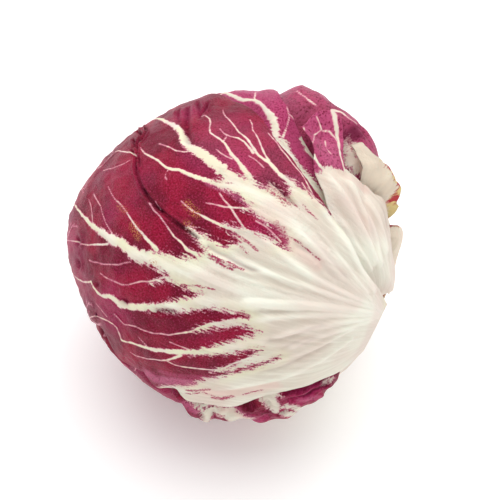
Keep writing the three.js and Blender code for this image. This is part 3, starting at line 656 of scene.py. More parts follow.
# How each leaf is coloured. Its pale base reaches as far as "reach", a polar angle, where nothing
# is traced. A higher tone is pinker, "ragged" sets the teeth of its margin, "fray" the border of
# its base, "thin" the least half width of a vein, "crumple" its lumps, "green" the tint of its
# ribs, and "torn" is the place of a browned margin.
LOOKS = {
    "leaf_rear": dict(reach=46, tone=0.25, ragged=0.8),
    "leaf_back": dict(reach=44, tone=0.2, ragged=0.8),
    "leaf_under": dict(reach=46, tone=0.15, ragged=0.8, creases=UNDER_CREASES),
    "leaf_wing": dict(reach=40, tone=0.25, ragged=0.5, veins=WING_VEINS, bases=[WING_BASE], fray=0.4,
                      green=0.1, streaks=WING_STREAKS, tints=WING_TINTS, creases=WING_CREASES),
    "leaf_cream": dict(reach=90, tone=0.6, ragged=0.4, ribs=CREAM_RIBS, torn=(45, 326),
                       green=0.3),
    "leaf_skirt": dict(reach=20, tone=0.35, ragged=0.8, bases=SKIRT_BASES, fray=0.4, green=0.1,
                       crumple=2.6, streaks=SKIRT_STREAKS, tints=SKIRT_TINTS, creases=SKIRT_CREASES),
    "leaf_top": dict(reach=44, tone=0.95, ragged=0.4, veins=TOP_VEINS, bases=[TOP_BASE],
                     fray=0.5, green=0.3),
    "leaf_crown": dict(reach=40, tone=1.1, ragged=0.3, veins=CROWN_VEINS, fray=0.4, green=0.2,
                       thin=0.24, ribs=CROWN_RIBS, bases=[CROWN_BASE], tints=CROWN_TINTS,
                       creases=CROWN_CREASES),
    "leaf_front": dict(reach=10, tone=0.0, ragged=0.5, veins=FRONT_VEINS, thin=0.24, green=0.75,
                       ribs=FRONT_RIBS, base_end=FRONT_BASE_END, streaks=FRONT_STREAKS, tints=FRONT_TINTS,
                       specks=FRONT_SPECKS, creases=FRONT_CREASES),
}


# The layered head

class Leaf:
    def __init__(self, index, spec):
        self.__dict__.update(PLAIN)
        self.__dict__.update(spec)
        self.__dict__.update(LOOKS[self.name])
        self.index = index
        self.map = HeadMap(self.centre)
        self.random = np.random.default_rng(SEED + index)
        root_low, root_high = self.root
        self.low_places = self.flat([(ROOT_ANGLE, root_low), *self.low, self.tip[0]])
        self.high_places = self.flat([(ROOT_ANGLE, root_high), *self.high, self.tip[-1]])
        self.tip_places = self.flat(self.tip)
        steps = np.linspace(0, 1, OUTLINE_STEPS + 1)
        low, tip, high = (smooth_curve(places, steps)
                          for places in (self.low_places, self.tip_places, self.high_places))
        self.low_line = low
        self.outline = np.vstack([self.flat([(0, 0)]), low, tip[1:], high[::-1][1:]])

    def flat(self, places):
        return self.map.flatten(unit(places))

    def edge(self, dirs):
        """Distance outside the margin, negative inside, and the place along it."""
        points = self.map.flatten(dirs)
        distance, along = nearest(points, np.vstack([self.outline, self.outline[:1]]))
        return np.where(inside(points, self.outline), -distance, distance), along

    def room(self, dirs, edge):
        """The room that this leaf takes up under what lies over it."""
        return (1 - smooth(edge, PRESS_NEAR, PRESS_FAR)) * (full_thickness(dirs) + GAP + self.slack)


def full_thickness(dirs):
    return BLADE + (ROOT_THICKNESS - BLADE) * bell(polar_of(dirs), ROOT_REACH)


def crest_height(dirs):
    polar, azimuth = polar_of(dirs), azimuth_of(dirs)
    at = np.array(CREST, float).T
    top, height, front = (np.interp(polar, at[0], column) for column in at[1:])
    across = turn_between(azimuth, top) * np.sin(np.radians(polar)) * HEAD_RADIUS
    return height * bell(across, np.where(across > 0, front, CREST_BACK))


def head_radius(dirs):
    radius = HEAD_RADIUS + crest_height(dirs)
    for place, height, spread in SWELLS:
        radius += height * bell(angle_to(dirs, place), spread)
    return radius


def rest_limit(dirs):
    down = np.minimum(dirs[:, 2], -1e-6)
    return np.where(dirs[:, 2] < 0, REST_HEIGHT / -down, np.inf)


leaves = [Leaf(index, spec) for index, spec in enumerate(LEAVES)]


def layer(dirs, index):
    """Radius of leaf number index where it lies pressed down, and how free it is there."""
    radius = np.minimum(head_radius(dirs), rest_limit(dirs))
    free = np.ones(len(dirs))
    for leaf in leaves[index + 1:]:
        edge, _ = leaf.edge(dirs)
        radius -= leaf.room(dirs, edge)
        free *= smooth(edge, FREE_NEAR, FREE_FAR)
    return radius, free


def surface(leaf, dirs):
    """The plain form of a leaf: radius, freedom, distance from its margin and place along it."""
    pressed, free = layer(dirs, leaf.index)
    free = free * smooth(polar_of(dirs), ROOT_ANGLE, ROOT_ANGLE + FREE_REACH)
    edge, along = leaf.edge(dirs)
    rise = free * smooth(edge, -EDGE_BAND, 0)
    lifted = np.zeros(len(dirs))
    for place, height, spread in leaf.lifts:
        share = rise * bell(angle_to(dirs, place), spread)
        lifted = np.maximum(lifted, (head_radius(dirs) + height - pressed) * share)
    size, length = leaf.wave
    waves = size * (0.5 + 0.5 * np.sin(along / length * 2 * np.pi)) * smooth(edge, -EDGE_BAND / 2, 0)
    return pressed + lifted + free * waves, free, edge, along


def cast(leaf, pixels):
    """Places on a leaf's own map that the camera sees at the given pixels."""
    at = (np.asarray(pixels, float) - HEAD_PIXEL) / FOCAL
    rays = at[:, :1] * RIGHT - at[:, 1:] * UP - BACK
    rays /= np.linalg.norm(rays, axis=1)[:, None]
    eye = BACK * CAMERA_DISTANCE
    halfway = -rays @ eye
    entry = np.sqrt(np.maximum(halfway ** 2 + CAST_RADIUS ** 2 - eye @ eye, 0))
    share = np.linspace(0, 1, CAST_STEPS)
    walked = halfway[:, None] - entry[:, None] * (1 - share)
    points = eye + walked[:, :, None] * rays[:, None]
    radius = np.linalg.norm(points, axis=2)
    dirs = (points / radius[:, :, None]).reshape(-1, 3)
    above = radius - surface(leaf, dirs)[0].reshape(radius.shape)
    hit = np.argmax(above <= 0, axis=1)
    hit[~np.any(above <= 0, axis=1)] = CAST_STEPS - 1
    rows = np.arange(len(rays))
    before, after = above[rows, hit - 1], above[rows, hit]
    back = np.clip(after / np.minimum(after - before, -1e-6), 0, 1)
    place = points[rows, hit] + (points[rows, hit - 1] - points[rows, hit]) * back[:, None]
    return leaf.map.flatten(place / np.linalg.norm(place, axis=1)[:, None])


# Veins

def length_of(line):
    return np.sum(np.hypot(*np.diff(line, axis=0).T))


def turned(vector, angle):
    c, s = math.cos(math.radians(angle)), math.sin(math.radians(angle))
    return np.array([vector[0] * c - vector[1] * s, vector[0] * s + vector[1] * c])


def branches(line, widths, random, spacing, reach, levels):
    """Side veins that leave a line by turns to its left and right and bend along with it."""
    found = []
    total = length_of(line)
    side = random.choice((-1, 1))
    at = spacing * random.uniform(0.6, 1.2)
    while at < total * 0.94:
        here, ahead = smooth_curve(line, [at / total, min(at / total + 0.02, 1)])
        heading = (ahead - here) / max(math.hypot(*(ahead - here)), 1e-6)
        share = at / total
        length = reach * random.uniform(0.55, 1.1) * (1 - 0.45 * share)
        angle = side * random.uniform(*BRANCH_ANGLES)
        points = [here]
        for _ in range(4):
            points.append(points[-1] + turned(heading, angle) * length / 4)
            angle *= random.uniform(*BRANCH_BENDS)
            angle += random.uniform(-BRANCH_SWAY, BRANCH_SWAY)
        width = spread_out(widths, share) * random.uniform(*BRANCH_WIDTHS)
        branch = (even_curve(points, 9), (width, width * 0.6, width * 0.25))
        found.append(branch)
        if levels > 1:
            found += branches(*branch, random, spacing * FINER_SPACING, reach * FINER_REACH, levels - 1)
        side = -side
        at += spacing * random.uniform(0.7, 1.3)
    return found


def fan_veins(leaf):
    """Main ribs fanning out from a leaf's root, with their side veins."""
    polar, azimuth = leaf.centre
    found = []
    for turn in leaf.fan:
        places = [(ROOT_ANGLE, azimuth + turn * 0.7), (polar * 0.6, azimuth + turn * 0.5),
                  (polar * 1.05, azimuth + turn * 0.85), (polar * 1.5, azimuth + turn * 1.4)]
        drift = leaf.random.uniform(-1, 1, (5, 2)) * (0.4, 2.4)
        line = even_curve(leaf.flat(places), 15) + even_curve(drift, 15)
        found.append((line, FAN_WIDTHS))
        found += branches(line, FAN_WIDTHS, leaf.random, VEIN_SPACING, VEIN_REACH, BRANCH_LEVELS)
    return found


def traced_veins(leaf):
    found = []
    for widths, pixels, *beyond in leaf.veins:
        line = cast(leaf, pixels)
        widths = tuple(width * MM_PER_PIXEL for width in widths)
        count = max(4, int(length_of(line) / 2.5))
        found.append((even_curve(line, count), widths))
        if beyond:
            hidden = even_curve(np.vstack([leaf.flat(beyond[0]), line[:1]]), 12)
            found.append((hidden, (0.4, widths[0])))
            found += branches(hidden, (0.8, 1.8), leaf.random, HIDDEN_SPACING, HIDDEN_REACH, BRANCH_LEVELS)
    return found


def vein_fields(points, veins, random, thin):
    """How deep each point lies inside a vein, how faint and how frayed that vein is, and its relief."""
    depth = np.full(len(points), -4.0)
    faint, feather, ridge = (np.zeros(len(points)) for _ in range(3))
    for line, widths in veins:
        near = np.flatnonzero(np.all((points > line.min(0) - 5) & (points < line.max(0) + 5), axis=1))
        length = length_of(line)
        bends = random.uniform(-VEIN_BEND, VEIN_BEND, line.shape) * np.minimum(1, length / 12)
        steps = np.arange(0, length + 2 * UNEVEN, UNEVEN)
        swing = 1 + random.uniform(-VEIN_SWING, VEIN_SWING, len(steps))
        if not len(near):
            continue
        bends[[0, -1]] = 0
        distance, along = nearest(points[near], line + bends)
        half = spread_out(widths, along / length) / 2
        wide = np.maximum(half, thin) * np.interp(along, steps, swing)
        value = wide - distance
        better = value > depth[near]
        chosen = near[better]
        depth[chosen] = value[better]
        faint[chosen] = (1 - np.minimum(1, 0.45 + 0.55 * half / thin))[better]
        feather[chosen] = smooth(half, 0.3, 1.6)[better]
        rise = np.minimum(half, 1.8) * VEIN_HEIGHT * bell(distance, wide * 1.15)
        ridge[near] = np.maximum(ridge[near], rise)
    return depth, faint, feather, ridge


def rib_relief(leaf, points):
    """Broad ridges of the pale base."""
    relief = np.zeros(len(points))
    for widths, pixels in leaf.ribs:
        line = even_curve(cast(leaf, pixels), 24)
        distance, along = nearest(points, line)
        half = spread_out(widths, along / length_of(line)) * MM_PER_PIXEL / 2
        rise = RIB_HEIGHT * half * bell(distance, half * 0.9 + 0.5)
        relief = np.maximum(relief, rise * smooth(along, 0, 6))
    return relief


# Meshes

def ragged_side(places, fractions, amount, seed):
    """A smooth side with small teeth and notches, none at its ends."""
    line = smooth_curve(places, fractions)
    tangent = np.gradient(line, axis=0)
    normal = np.stack([tangent[:, 1], -tangent[:, 0]], 1)
    normal /= np.maximum(np.hypot(*normal.T), 1e-9)[:, None]
    length = np.r_[0, np.cumsum(np.hypot(*np.diff(line, axis=0).T))]
    fine = np.outer(length, (1, 0, 0))
    teeth = sum(height * perlin(fine, size, seed + k) for k, (height, size) in enumerate(TEETH))
    ends = np.sin(np.pi * np.clip(fractions, 0, 1)) ** 0.5
    return line + normal * (amount * teeth * ends)[:, None]


def patch(leaf):
    """The fine grid of a leaf on its own map, between its four sides."""
    rows, columns = leaf.grid
    u = np.linspace(0, 1, rows + 1) ** ROOT_CROWDING
    v = np.linspace(0, 1, columns + 1)
    low = ragged_side(leaf.low_places, u, leaf.ragged, leaf.index + 0.1)
    high = ragged_side(leaf.high_places, u, leaf.ragged, leaf.index + 0.4)
    end = ragged_side(leaf.tip_places, v, leaf.ragged, leaf.index + 0.7)
    root_low, root_high = leaf.root
    root = leaf.flat([(ROOT_ANGLE, root_low + (root_high - root_low) * t) for t in v])
    low[0], high[0], low[-1], high[-1] = root[0], root[-1], end[0], end[-1]
    u, v = u[:, None, None], v[None, :, None]
    between = (1 - v) * low[:, None] + v * high[:, None]
    along = (1 - u) * root[None] + u * end[None]
    corners = ((1 - u) * ((1 - v) * root[0] + v * root[-1]) + u * ((1 - v) * end[0] + v * end[-1]))
    return (between + along - corners).reshape(-1, 2)


def rim_of(rows, columns):
    """Indices of the border of a grid, going round once."""
    width = columns + 1
    top = list(range(columns))
    right = [i * width + columns for i in range(rows)]
    bottom = [rows * width + j for j in range(columns, 0, -1)]
    left = [i * width for i in range(rows, 0, -1)]
    return top + right + bottom + left


def shell(leaf, outer, inner, middle):
    """Closed shell of a fine outer face, a coarse inner one and a rounded rim between them."""
    rows, columns = leaf.grid
    width = columns + 1
    faces = []
    i, j = np.meshgrid(np.arange(rows), np.arange(columns), indexing="ij")
    a = (i * width + j).ravel()
    faces.append(np.stack([a, a + width, a + width + 1, a + 1], 1))
    inner_rows, inner_columns = rows // INNER_STEP, columns // INNER_STEP
    inner_width = inner_columns + 1
    base = len(outer)
    i, j = np.meshgrid(np.arange(inner_rows), np.arange(inner_columns), indexing="ij")
    b = (i * inner_width + j).ravel() + base
    faces.append(np.stack([b, b + 1, b + inner_width + 1, b + inner_width], 1))
    fine = np.array(rim_of(rows, columns))
    coarse = np.array(rim_of(inner_rows, inner_columns)) + base
    ring = np.arange(len(fine)) + base + len(inner)
    after = np.roll(np.arange(len(fine)), -1)
    faces.append(np.stack([fine, fine[after], ring[after], ring], 1))
    triangles = []
    half = INNER_STEP // 2
    for k in range(len(coarse)):
        start, next_start = k * INNER_STEP, (k + 1) * INNER_STEP
        one, two = coarse[k], coarse[(k + 1) % len(coarse)]
        for m in range(start, next_start):
            corner = one if m - start <= half else two
            triangles.append((ring[m], ring[(m + 1) % len(ring)], corner))
        triangles.append((ring[start + half + 1], two, one))
    quads = [face for block in faces for face in block.tolist()]
    return np.vstack([outer, inner, middle]), quads + triangles


def add_object(name, data):
    item = bpy.data.objects.new(name, data)
    bpy.context.scene.collection.objects.link(item)
    return item


def make_object(name, points, faces, material, fields):
    mesh = bpy.data.meshes.new(name)
    mesh.from_pydata((points * MM).tolist(), [], faces)
    mesh.update()
    mesh.polygons.foreach_set("use_smooth", np.ones(len(mesh.polygons), bool))
    for key, values in fields.items():
        kind, slot = ("FLOAT", "value") if values.ndim == 1 else ("FLOAT_VECTOR", "vector")
        stored = mesh.attributes.new(key, kind, "POINT")
        stored.data.foreach_set(slot, np.ascontiguousarray(values, np.float32).ravel())
    mesh.materials.append(material)
    return add_object(name, mesh)


def painted(leaf, points, strokes):
    """How much soft strokes, given as share, width in pixels and line, cover each point."""
    cover = np.zeros(len(points))
    for share, width, pixels in strokes:
        distance, _ = nearest(points, cast(leaf, pixels))
        half = width * MM_PER_PIXEL / 2
        cover = np.maximum(cover, share * smooth(half * 1.6 - distance, 0, half * 1.2))
    return cover


def crease_fields(leaf, points):
    """The groove of each crease, the fold beside it, and the painted shade laid along it."""
    dent, lip, painted_shade = (np.zeros(len(points)) for _ in range(3))
    for depth, half, shade, pixels in leaf.creases:
        line = even_curve(cast(leaf, pixels), 24)
        distance, along = nearest(points, line)
        fade = smooth(np.minimum(along, length_of(line) - along), -0.1, 4.0)
        dent = np.maximum(dent, depth * bell(distance, half * 1.3) * fade)
        lip = np.maximum(lip, CREASE_LIP * depth * bell(distance - half * 2.6, half * 1.2) * fade)
        # Painted shade: the colour darkens along the groove, where shade would fall in the crease
        painted_shade = np.maximum(painted_shade, shade * bell(distance, half) * fade)
    return dent, lip, painted_shade


def leaf_fields(leaf, dirs, points):
    """Everything that is painted on a leaf or raised on it, at each of its points."""
    veins = traced_veins(leaf) + fan_veins(leaf)
    vein, faint, feather, ridge = vein_fields(points, veins, leaf.random, leaf.thin)
    ridge = np.maximum(ridge, rib_relief(leaf, points))
    polar, azimuth = polar_of(dirs), azimuth_of(dirs)
    reach = leaf.reach + BASE_WANDER * perlin(np.outer(azimuth, (1, 0, 0)), WANDER_LENGTH, leaf.index)
    pale = reach - polar
    for loop in leaf.bases:
        pale = np.maximum(pale, depth_in(points, cast(leaf, loop)))
    if leaf.base_end:
        loop = np.vstack([cast(leaf, FRONT_BASE), leaf.flat(leaf.base_end)])
        pale = np.maximum(pale, depth_in(points, loop))
    dent, lip, painted_shade = crease_fields(leaf, points)
    across = turn_between(azimuth, leaf.centre[1]) * HEAD_RADIUS
    fan = np.column_stack([np.radians(polar) * HEAD_RADIUS, across, np.full(len(polar), leaf.index * 9.0)])
    place = np.column_stack([points, np.full(len(points), leaf.index * 17.0)])
    pucker = sum(height * perlin(place, size) for height, size in PUCKERS)
    blade = 1 - smooth(vein, -0.6, 0.2)
    furrow = FURROW_HEIGHT * perlin(fan / (FURROW_LENGTH, FURROW_WIDTH, 1), 1.0)
    pale_share = smooth(pale, -1, 5)
    crumpled = leaf.crumple * pucker * blade * (1 - 0.7 * pale_share)
    relief = ridge + crumpled + furrow * pale_share - dent + lip
    fields = dict(vein=vein, feather=feather, faint=faint, pale=pale, painted_shade=painted_shade, ridge=ridge,
                  tint=painted(leaf, points, leaf.tints), speck=painted(leaf, points, leaf.specks),
                  stain=painted(leaf, points, leaf.streaks), fan=fan, place=place)
    if leaf.torn:
        distance, _ = nearest(points, leaf.low_line)
        worn = smooth(TORN_BAND - distance, 0, TORN_BAND)
        fields["rim"] = worn * bell(angle_to(dirs, leaf.torn), TORN_SPREAD)
    return relief, fields


def leaf_piece(leaf, material):
    points = patch(leaf)
    dirs = leaf.map.lift(points)
    radius, free, edge, _ = surface(leaf, dirs)
    relief, fields = leaf_fields(leaf, dirs, points)
    relief = relief * free * smooth(-edge, -0.5, RELIEF_BAND)
    limit = rest_limit(dirs)
    outer_radius = np.minimum(radius + relief, limit)
    thickness = RIM_THICKNESS + (full_thickness(dirs) - RIM_THICKNESS) * smooth(-edge, -0.5, RIM_BAND)
    inner_radius = np.minimum(radius + np.minimum(relief, 0), limit) - thickness
    outer = dirs * outer_radius[:, None]
    inner = dirs * inner_radius[:, None]
    rows, columns = leaf.grid
    rim = np.array(rim_of(rows, columns))
    middle = (outer[rim] + inner[rim]) / 2
    outward = leaf.map.lift(points[rim] * (1 + 0.3 / np.hypot(*points[rim].T))[:, None]) - dirs[rim]
    outward /= np.maximum(np.linalg.norm(outward, axis=1), 1e-9)[:, None]
    middle = middle + outward * RIM_ROUND
    keep = np.arange(len(points)).reshape(rows + 1, columns + 1)[::INNER_STEP, ::INNER_STEP].ravel()
    corners, faces = shell(leaf, outer, inner[keep], middle)
    spread = {key: np.concatenate([values, values[keep], values[rim]]) for key, values in fields.items()}
    piece = make_object(leaf.name.replace("leaf_", "dressed_leaf_"), corners + HEAD_CENTRE, faces,
                        material, spread)
    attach(piece, "root")
    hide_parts(leaf.name)
    return piece


# Materials

class Signal:
    """A value inside a material. Sums and products of signals become math nodes."""

    def __init__(self, shader, socket):
        self.shader = shader
        self.socket = socket

    def __add__(self, other):
        return self.shader.math("ADD", self, other)

    def __sub__(self, other):
        return self.shader.math("SUBTRACT", self, other)

    def __rsub__(self, other):
        return self.shader.math("SUBTRACT", other, self)

    def __mul__(self, other):
        return self.shader.math("MULTIPLY", self, other)

    def __truediv__(self, other):
        return self.shader.math("DIVIDE", self, other)

    __radd__ = __add__


class Shader:
    """A material's node tree, with short names for the nodes that are used over and over."""

    def __init__(self, name):
        self.material = bpy.data.materials.new(name)
        self.material.use_nodes = True
        self.tree = self.material.node_tree
        self.surface = self.tree.nodes["Principled BSDF"]

    def feed(self, item, values):
        for key, value in values.items():
            if isinstance(value, Signal):
                self.tree.links.new(value.socket, item.inputs[key])
            elif value is not None:
                item.inputs[key].default_value = value

    def node(self, kind, values, output=0, **settings):
        item = self.tree.nodes.new("ShaderNode" + kind)
        for key, value in settings.items():
            setattr(item, key, value)
        self.feed(item, values)
        return Signal(self, item.outputs[output])

    def math(self, operation, a, b, clamp=False):
        return self.node("Math", {0: a, 1: b}, operation=operation, use_clamp=clamp)

    def attribute(self, name, output="Fac"):
        return self.node("Attribute", {}, output, attribute_name=name)

    def stretch(self, vector, scale):
        return self.node("VectorMath", {0: vector, 1: scale}, operation="MULTIPLY")

    def noise(self, vector, scale=1.0, detail=2.0, rough=0.5):
        values = {"Vector": vector, "Scale": scale, "Detail": detail, "Roughness": rough}
        return self.node("TexNoise", values, "Fac")

    def step(self, value, low, high, to_low=0.0, to_high=1.0):
        values = {"Value": value, "From Min": low, "From Max": high, "To Min": to_low, "To Max": to_high}
        return self.node("MapRange", values, "Result", interpolation_type="SMOOTHSTEP")

    def mix(self, share, a, b):
        return self.node("Mix", {0: share, 6: a, 7: b}, 2, data_type="RGBA")

    def bump(self, height, distance, normal=None, strength=1.0):
        values = {"Height": height, "Distance": distance, "Normal": normal, "Strength": strength}
        return self.node("Bump", values, "Normal")


def colour(red, green, blue):
    """A colour given as 0 to 255 on the screen, made linear."""
    values = [value / 255 for value in (red, green, blue)]
    linear = [v / 12.92 if v <= 0.04045 else ((v + 0.055) / 1.055) ** 2.4 for v in values]
    return (*linear, 1.0)


CRIMSON = colour(152, 3, 44)
DEEP = colour(98, 0, 27)
MAGENTA = colour(172, 30, 90)
FLECK = colour(202, 74, 118)
ROSE = colour(188, 88, 128)
BLUSH = colour(214, 128, 152)
CREAM = colour(252, 250, 234)
GREEN = colour(238, 235, 198)
PINKISH = colour(238, 214, 204)
PEACH = colour(234, 202, 190)
PINK = colour(198, 98, 136)
# Painted shade in the valleys of a pale base
VALLEY_SHADE = colour(206, 192, 174)
STAIN = colour(172, 52, 92)
SAND = colour(250, 238, 216)
HUSK = colour(238, 218, 198)
OCHRE = colour(196, 128, 78)
RUST = colour(176, 60, 66)
STRAW = colour(222, 200, 140)
# Painted shade in creases, slits and pockets: on the blade, and on pale parts
SHADE_PLUM = colour(64, 0, 24)
SHADE = colour(172, 144, 142)
SHEEN = colour(255, 205, 225)
PITH = colour(226, 204, 160)
TAN = colour(190, 140, 92)
BROWN = colour(142, 84, 52)
FLOOR_DIM = colour(250, 249, 249)
FLOOR_BRIGHT = colour(252, 251, 250)

# Noises of the skin, in lumps per millimetre. Streaks and lines are stretched along the leaf.
GRAIN_SCALE = 1.5
CLOUD_SCALE = 0.075
PATCH_SCALE = 0.05
STREAK_STRETCH = (0.3, 1.2, 1.0)
LINE_STRETCH = (0.04, 0.4, 1.0)

# Bumps too fine for the mesh
GRAIN_DEPTH = 0.5 * MM
LINE_DEPTH = 1.2 * MM
STEM_DEPTH = 0.6 * MM


def blade_colour(s, place, fine, grains, tint, tone):
    """The red blade, from deep crimson to rose. A higher tone is pinker."""
    blade = s.mix(s.step(s.noise(place, CLOUD_SCALE, 2.0), 0.36, 0.66, 0.15, 1.0), DEEP, CRIMSON)
    blade = s.mix(s.step(s.noise(place, PATCH_SCALE, 1.0) + tone * 0.5, 0.5, 0.95), blade, MAGENTA)
    blade = s.mix(s.step(fine + tone, 1.1, 1.9), blade, ROSE)
    blade = s.mix(s.step(fine, 0.35, 0.75, 0.0, 0.2), blade, MAGENTA)
    blade = s.mix(tint * 0.9, blade, PINK)
    blade = s.mix(s.step(grains, 0.52, 0.34, 0.0, 0.9), blade, DEEP)
    return s.mix(s.step(grains, 0.5, 0.7, 0.0, 0.4), blade, FLECK)


def pale_colour(s, place, fan, lines, tint, green, torn):
    """The pale base and ribs: painted shade in the valleys between the ribs, stronger away from the stem,
    and greener towards the blade.
    """
    patches = s.step(s.noise(place, PATCH_SCALE, 1.0), 0.42, 0.62, 0.0, 0.5)
    white = s.mix(patches, SAND if torn else CREAM, HUSK if torn else PINKISH)
    # Painted shade where the ribs dip and along the fine lines
    valley = s.attribute("ridge") * -0.55 + lines * 1.2
    from_stem = s.node("SeparateXYZ", {0: fan})
    shaded = s.step(valley, 0.1, 0.8) * s.step(from_stem, 18.0, 48.0, 0.3, 0.65)
    white = s.mix(shaded, white, VALLEY_SHADE)
    near_edge = s.step(s.attribute("pale"), 6.0, -1.0) * s.step(s.noise(place, 0.09, 1.0), 0.3, 0.6)
    white = s.mix(near_edge * green, white, GREEN)
    return s.mix(tint * 0.8, white, PEACH)


def leaf_material(name, tone, fray=1.0, green=0.5, torn=False):
    s = Shader(name)
    place, fan = s.attribute("place", "Vector"), s.attribute("fan", "Vector")
    feather, tint, painted_shade = s.attribute("feather"), s.attribute("tint"), s.attribute("painted_shade")
    streak = s.noise(s.stretch(fan, STREAK_STRETCH), 1.0, 3.0, 0.62)
    lines = s.noise(s.stretch(fan, LINE_STRETCH), 1.0, 3.0, 0.6)
    fine = s.noise(place, GRAIN_SCALE, 3.0, 0.6)
    grains = s.noise(place, GRAIN_SCALE, 4.0, 0.72)
    uneven, grainy = streak - 0.5, fine - 0.5

    # Where the leaf is pale: its base with a streaky border, and its veins with frayed ones
    border = s.attribute("pale") + uneven * (8.0 * fray) + grainy * 4.2
    base = s.step(border, -0.5 - 0.8 * fray, 0.5 + 0.8 * fray)
    frayed = s.attribute("vein") + (uneven * 2.0 + grainy * 2.2) * feather
    frayed = frayed / (1.0 + feather * 1.2)
    veined = s.step(frayed, -0.28, 0.3) * (1.0 - s.attribute("faint"))
    light = s.math("MAXIMUM", base, veined)

    skin = s.mix(s.step(light, 0.0, 0.55), blade_colour(s, place, fine, grains, tint, tone), BLUSH)
    skin = s.mix(s.step(light, 0.35, 0.95), skin, pale_colour(s, place, fan, lines, tint, green, torn))
    blotted = s.step(streak * 0.6 + fine * 0.6, 0.42, 0.72)
    skin = s.mix(s.step(s.attribute("stain") + blotted * 0.9, 0.9, 1.7), skin, STAIN)
    if torn:
        browned = s.mix(s.step(s.noise(place, 0.5, 3.0), 0.44, 0.54), RUST, STRAW)
        skin = s.mix(s.step(s.attribute("rim") + grainy * 1.2, 0.2, 0.6), skin, browned)
    skin = s.mix(s.attribute("speck") * s.step(s.noise(place, 2.0, 2.0), 0.5, 0.6), skin, OCHRE)
    # Painted shade in creases, slits, pockets and under margins: dark purple on the blade, greyish on pale
    # parts
    skin = s.mix(painted_shade * 0.85, skin, s.mix(light, SHADE_PLUM, SHADE))
    grain = s.bump(grains, GRAIN_DEPTH, strength=0.7)
    s.feed(s.surface, {
        "Base Color": skin,
        "Roughness": s.math("ADD", s.step(light, 0.0, 1.0, 0.42, 0.5), painted_shade, clamp=True),
        "Specular IOR Level": 0.12,
        "Sheen Weight": 0.14,
        "Sheen Roughness": 0.45,
        "Sheen Tint": SHEEN,
        "Subsurface Weight": 0.1,
        "Subsurface Radius": (1.0, 0.4, 0.35),
        "Subsurface Scale": 0.0012,
        "Normal": s.bump(lines * base, LINE_DEPTH, grain, 0.35),
    })
    return s.material


def stem_material():
    s = Shader("cut_stem")
    place = s.attribute("place", "Vector")
    mottled = s.noise(place, 0.5, 3.0)
    skin = s.mix(s.step(mottled, 0.35, 0.7), PITH, TAN)
    skin = s.mix(s.step(s.attribute("rim") + mottled * 0.4, 0.6, 1.1), skin, BROWN)
    rough = s.bump(s.noise(place, 1.2, 4.0), STEM_DEPTH)
    s.feed(s.surface, {"Base Color": skin, "Roughness": 0.75, "Normal": rough})
    return s.material


def floor_material():
    s = Shader("white_floor")
    place = s.node("TexCoord", {}, "Object")
    s.feed(s.surface, {
        "Base Color": s.mix(s.step(s.noise(place, 9.0, 2.0), 0.3, 0.7), FLOOR_DIM, FLOOR_BRIGHT),
        "Roughness": 0.9,
        "Specular IOR Level": 0.1,
        "Emission Color": (1, 1, 1, 1),
        "Emission Strength": FLOOR_GLOW,
    })
    return s.material


# Heart and stem

def leaf_share(places):
    """How far round each place is from one spiral leaf edge of the heart to the next."""
    polar, azimuth = np.asarray(places, float).T
    turn = (azimuth + polar * HEART_TWIST) / 360 * HEART_LEAVES
    return turn - np.floor(turn)


def heart_radius(places):
    dirs = unit(places)
    share = leaf_share(places)
    step = HEART_STEP * np.sin(np.radians(polar_of(dirs))) * np.minimum(share, (1 - share) * 4)
    return layer(dirs, -1)[0] - GAP - HEART_STEP + step


def rings(count, sectors):
    """Places and faces of a ball of rings between two poles."""
    places = [(0.0, 0.0)]
    places += [(ring / count * 180, k / sectors * 360) for ring in range(1, count) for k in range(sectors)]
    places.append((180.0, 0.0))

    def at(ring, k):
        return 1 + (ring - 1) * sectors + k % sectors

    faces = []
    for k in range(sectors):
        faces.append((0, at(1, k), at(1, k + 1)))
        faces.append((len(places) - 1, at(count - 1, k + 1), at(count - 1, k)))
        for ring in range(1, count - 1):
            faces.append((at(ring, k), at(ring + 1, k), at(ring + 1, k + 1), at(ring, k + 1)))
    return places, faces


def heart_piece(material):
    places, faces = rings(HEART_RINGS, HEART_SECTORS)
    points = unit(places) * heart_radius(places)[:, None]
    polar, azimuth = np.asarray(places, float).T
    zero = np.zeros(len(places))
    share = leaf_share(places)
    fan = np.column_stack([polar, np.sin(np.radians(polar)) * azimuth, zero + 99])
    # Painted shade along the spiral edges where one leaf of the heart lies over the next
    fields = dict(vein=1.5 - np.abs(share - 0.5) * polar, feather=zero + 0.6, faint=zero, ridge=zero,
                  pale=30 - polar, painted_shade=0.7 * bell(share * 40, 3.0), fan=fan,
                  place=unit(places) * HEAD_RADIUS)
    piece = make_object("dressed_heart", points + HEAD_CENTRE, faces, material, fields)
    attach(piece, "root")
    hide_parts("heart")
    return piece


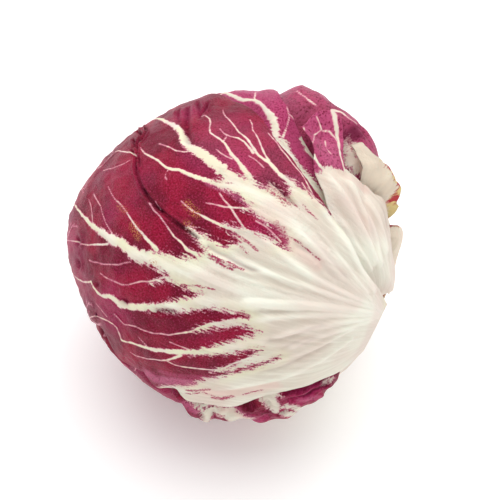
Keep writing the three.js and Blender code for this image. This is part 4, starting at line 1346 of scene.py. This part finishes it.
def stem_piece(material):
    """The cut stem: a cone with a worn rim, a ring of fibres and a sunken pith in its cut face."""
    places = [(polar, azimuth) for polar in range(0, 18, 2) for azimuth in range(0, 360, 10)]
    foot = np.max(heart_radius(places) * np.cos(np.radians(np.array(places)[:, 0])))
    slope = math.tan(math.radians(STEM_ANGLE))
    start, top = foot + STEM_CLEARANCE, HEAD_RADIUS - STEM_TOP
    wide = top * slope
    profile = [(0.3, start), (start * slope, start), (wide * 0.975, top - 1.4), (wide * 0.97, top - 0.5),
               (wide * 0.93, top - 0.1)]
    profile += [(wide * (1 - t), top + 0.25 * math.sin(t * 14) - 0.9 * smooth(t, 0.55, 0.95))
                for t in np.linspace(0.12, 0.97, 16)]
    points, faces, rim = [], [], []
    for radius, height in profile:
        for k in range(STEM_SIDES):
            turn = 2 * math.pi * k / STEM_SIDES
            rough = 1 + 0.03 * noise.noise(Vector((math.cos(turn) * 2, math.sin(turn) * 2, height * 0.2)))
            side, above = radius * rough * math.sin(turn), radius * rough * math.cos(turn)
            points.append(AXIS * height + SIDE * side + ABOVE * above)
            rim.append(smooth(radius / wide, 0.75, 1.0) * smooth(height, top - 6, top - 1))
    for ring in range(len(profile) - 1):
        for k in range(STEM_SIDES):
            a, b = ring * STEM_SIDES + k, ring * STEM_SIDES + (k + 1) % STEM_SIDES
            faces.append((a, b, b + STEM_SIDES, a + STEM_SIDES))
    faces.append(tuple(reversed(range(STEM_SIDES))))
    last = (len(profile) - 1) * STEM_SIDES
    faces.append(tuple(last + k for k in range(STEM_SIDES)))
    points = np.array(points)
    piece = make_object("dressed_stem", points + HEAD_CENTRE, faces, material,
                        dict(place=points, rim=np.array(rim)))
    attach(piece, "root")
    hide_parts("stem")
    return piece


# Floor, light and camera

def make_stage():
    bpy.ops.mesh.primitive_plane_add(size=FLOOR_SIZE, location=(0, 0, 0))
    floor = bpy.context.object
    floor.name = "floor"
    floor.data.materials.append(floor_material())


def make_light():
    light = bpy.data.lights.new("key", "AREA")
    light.shape = "SQUARE"
    light.size = KEY_SIZE
    light.energy = KEY_POWER
    holder = add_object("key", light)
    holder.location = KEY_PLACE
    holder.rotation_euler = (Vector(KEY_AIM) - holder.location).to_track_quat("-Z", "Y").to_euler()


def make_world():
    world = bpy.data.worlds.new("studio")
    world.use_nodes = True
    background = world.node_tree.nodes["Background"]
    background.inputs["Color"].default_value = (1, 1, 1, 1)
    background.inputs["Strength"].default_value = SKY_STRENGTH
    bpy.context.scene.world = world


def make_camera():
    data = bpy.data.cameras.new("camera")
    data.lens = LENS
    data.sensor_width = SENSOR
    data.shift_x = (PICTURE / 2 - HEAD_PIXEL[0]) / PICTURE
    data.shift_y = (HEAD_PIXEL[1] - PICTURE / 2) / PICTURE
    data.dof.use_dof = False
    camera = add_object("camera", data)
    place = (HEAD_CENTRE + BACK * CAMERA_DISTANCE) * MM
    matrix = np.eye(4)
    matrix[:3, 0], matrix[:3, 1], matrix[:3, 2], matrix[:3, 3] = RIGHT, UP, BACK, place
    camera.matrix_world = Matrix(matrix.tolist())
    bpy.context.scene.camera = camera


make_camera()
make_stage()
make_world()
make_light()
bpy.context.scene.view_settings.view_transform = "Standard"

for leaf in leaves:
    name = leaf.name.replace("leaf_", "radicchio_")
    leaf_piece(leaf, leaf_material(name, leaf.tone, leaf.fray, leaf.green, leaf.torn))
heart_piece(leaf_material("radicchio_heart", 0.1))
stem_piece(stem_material())
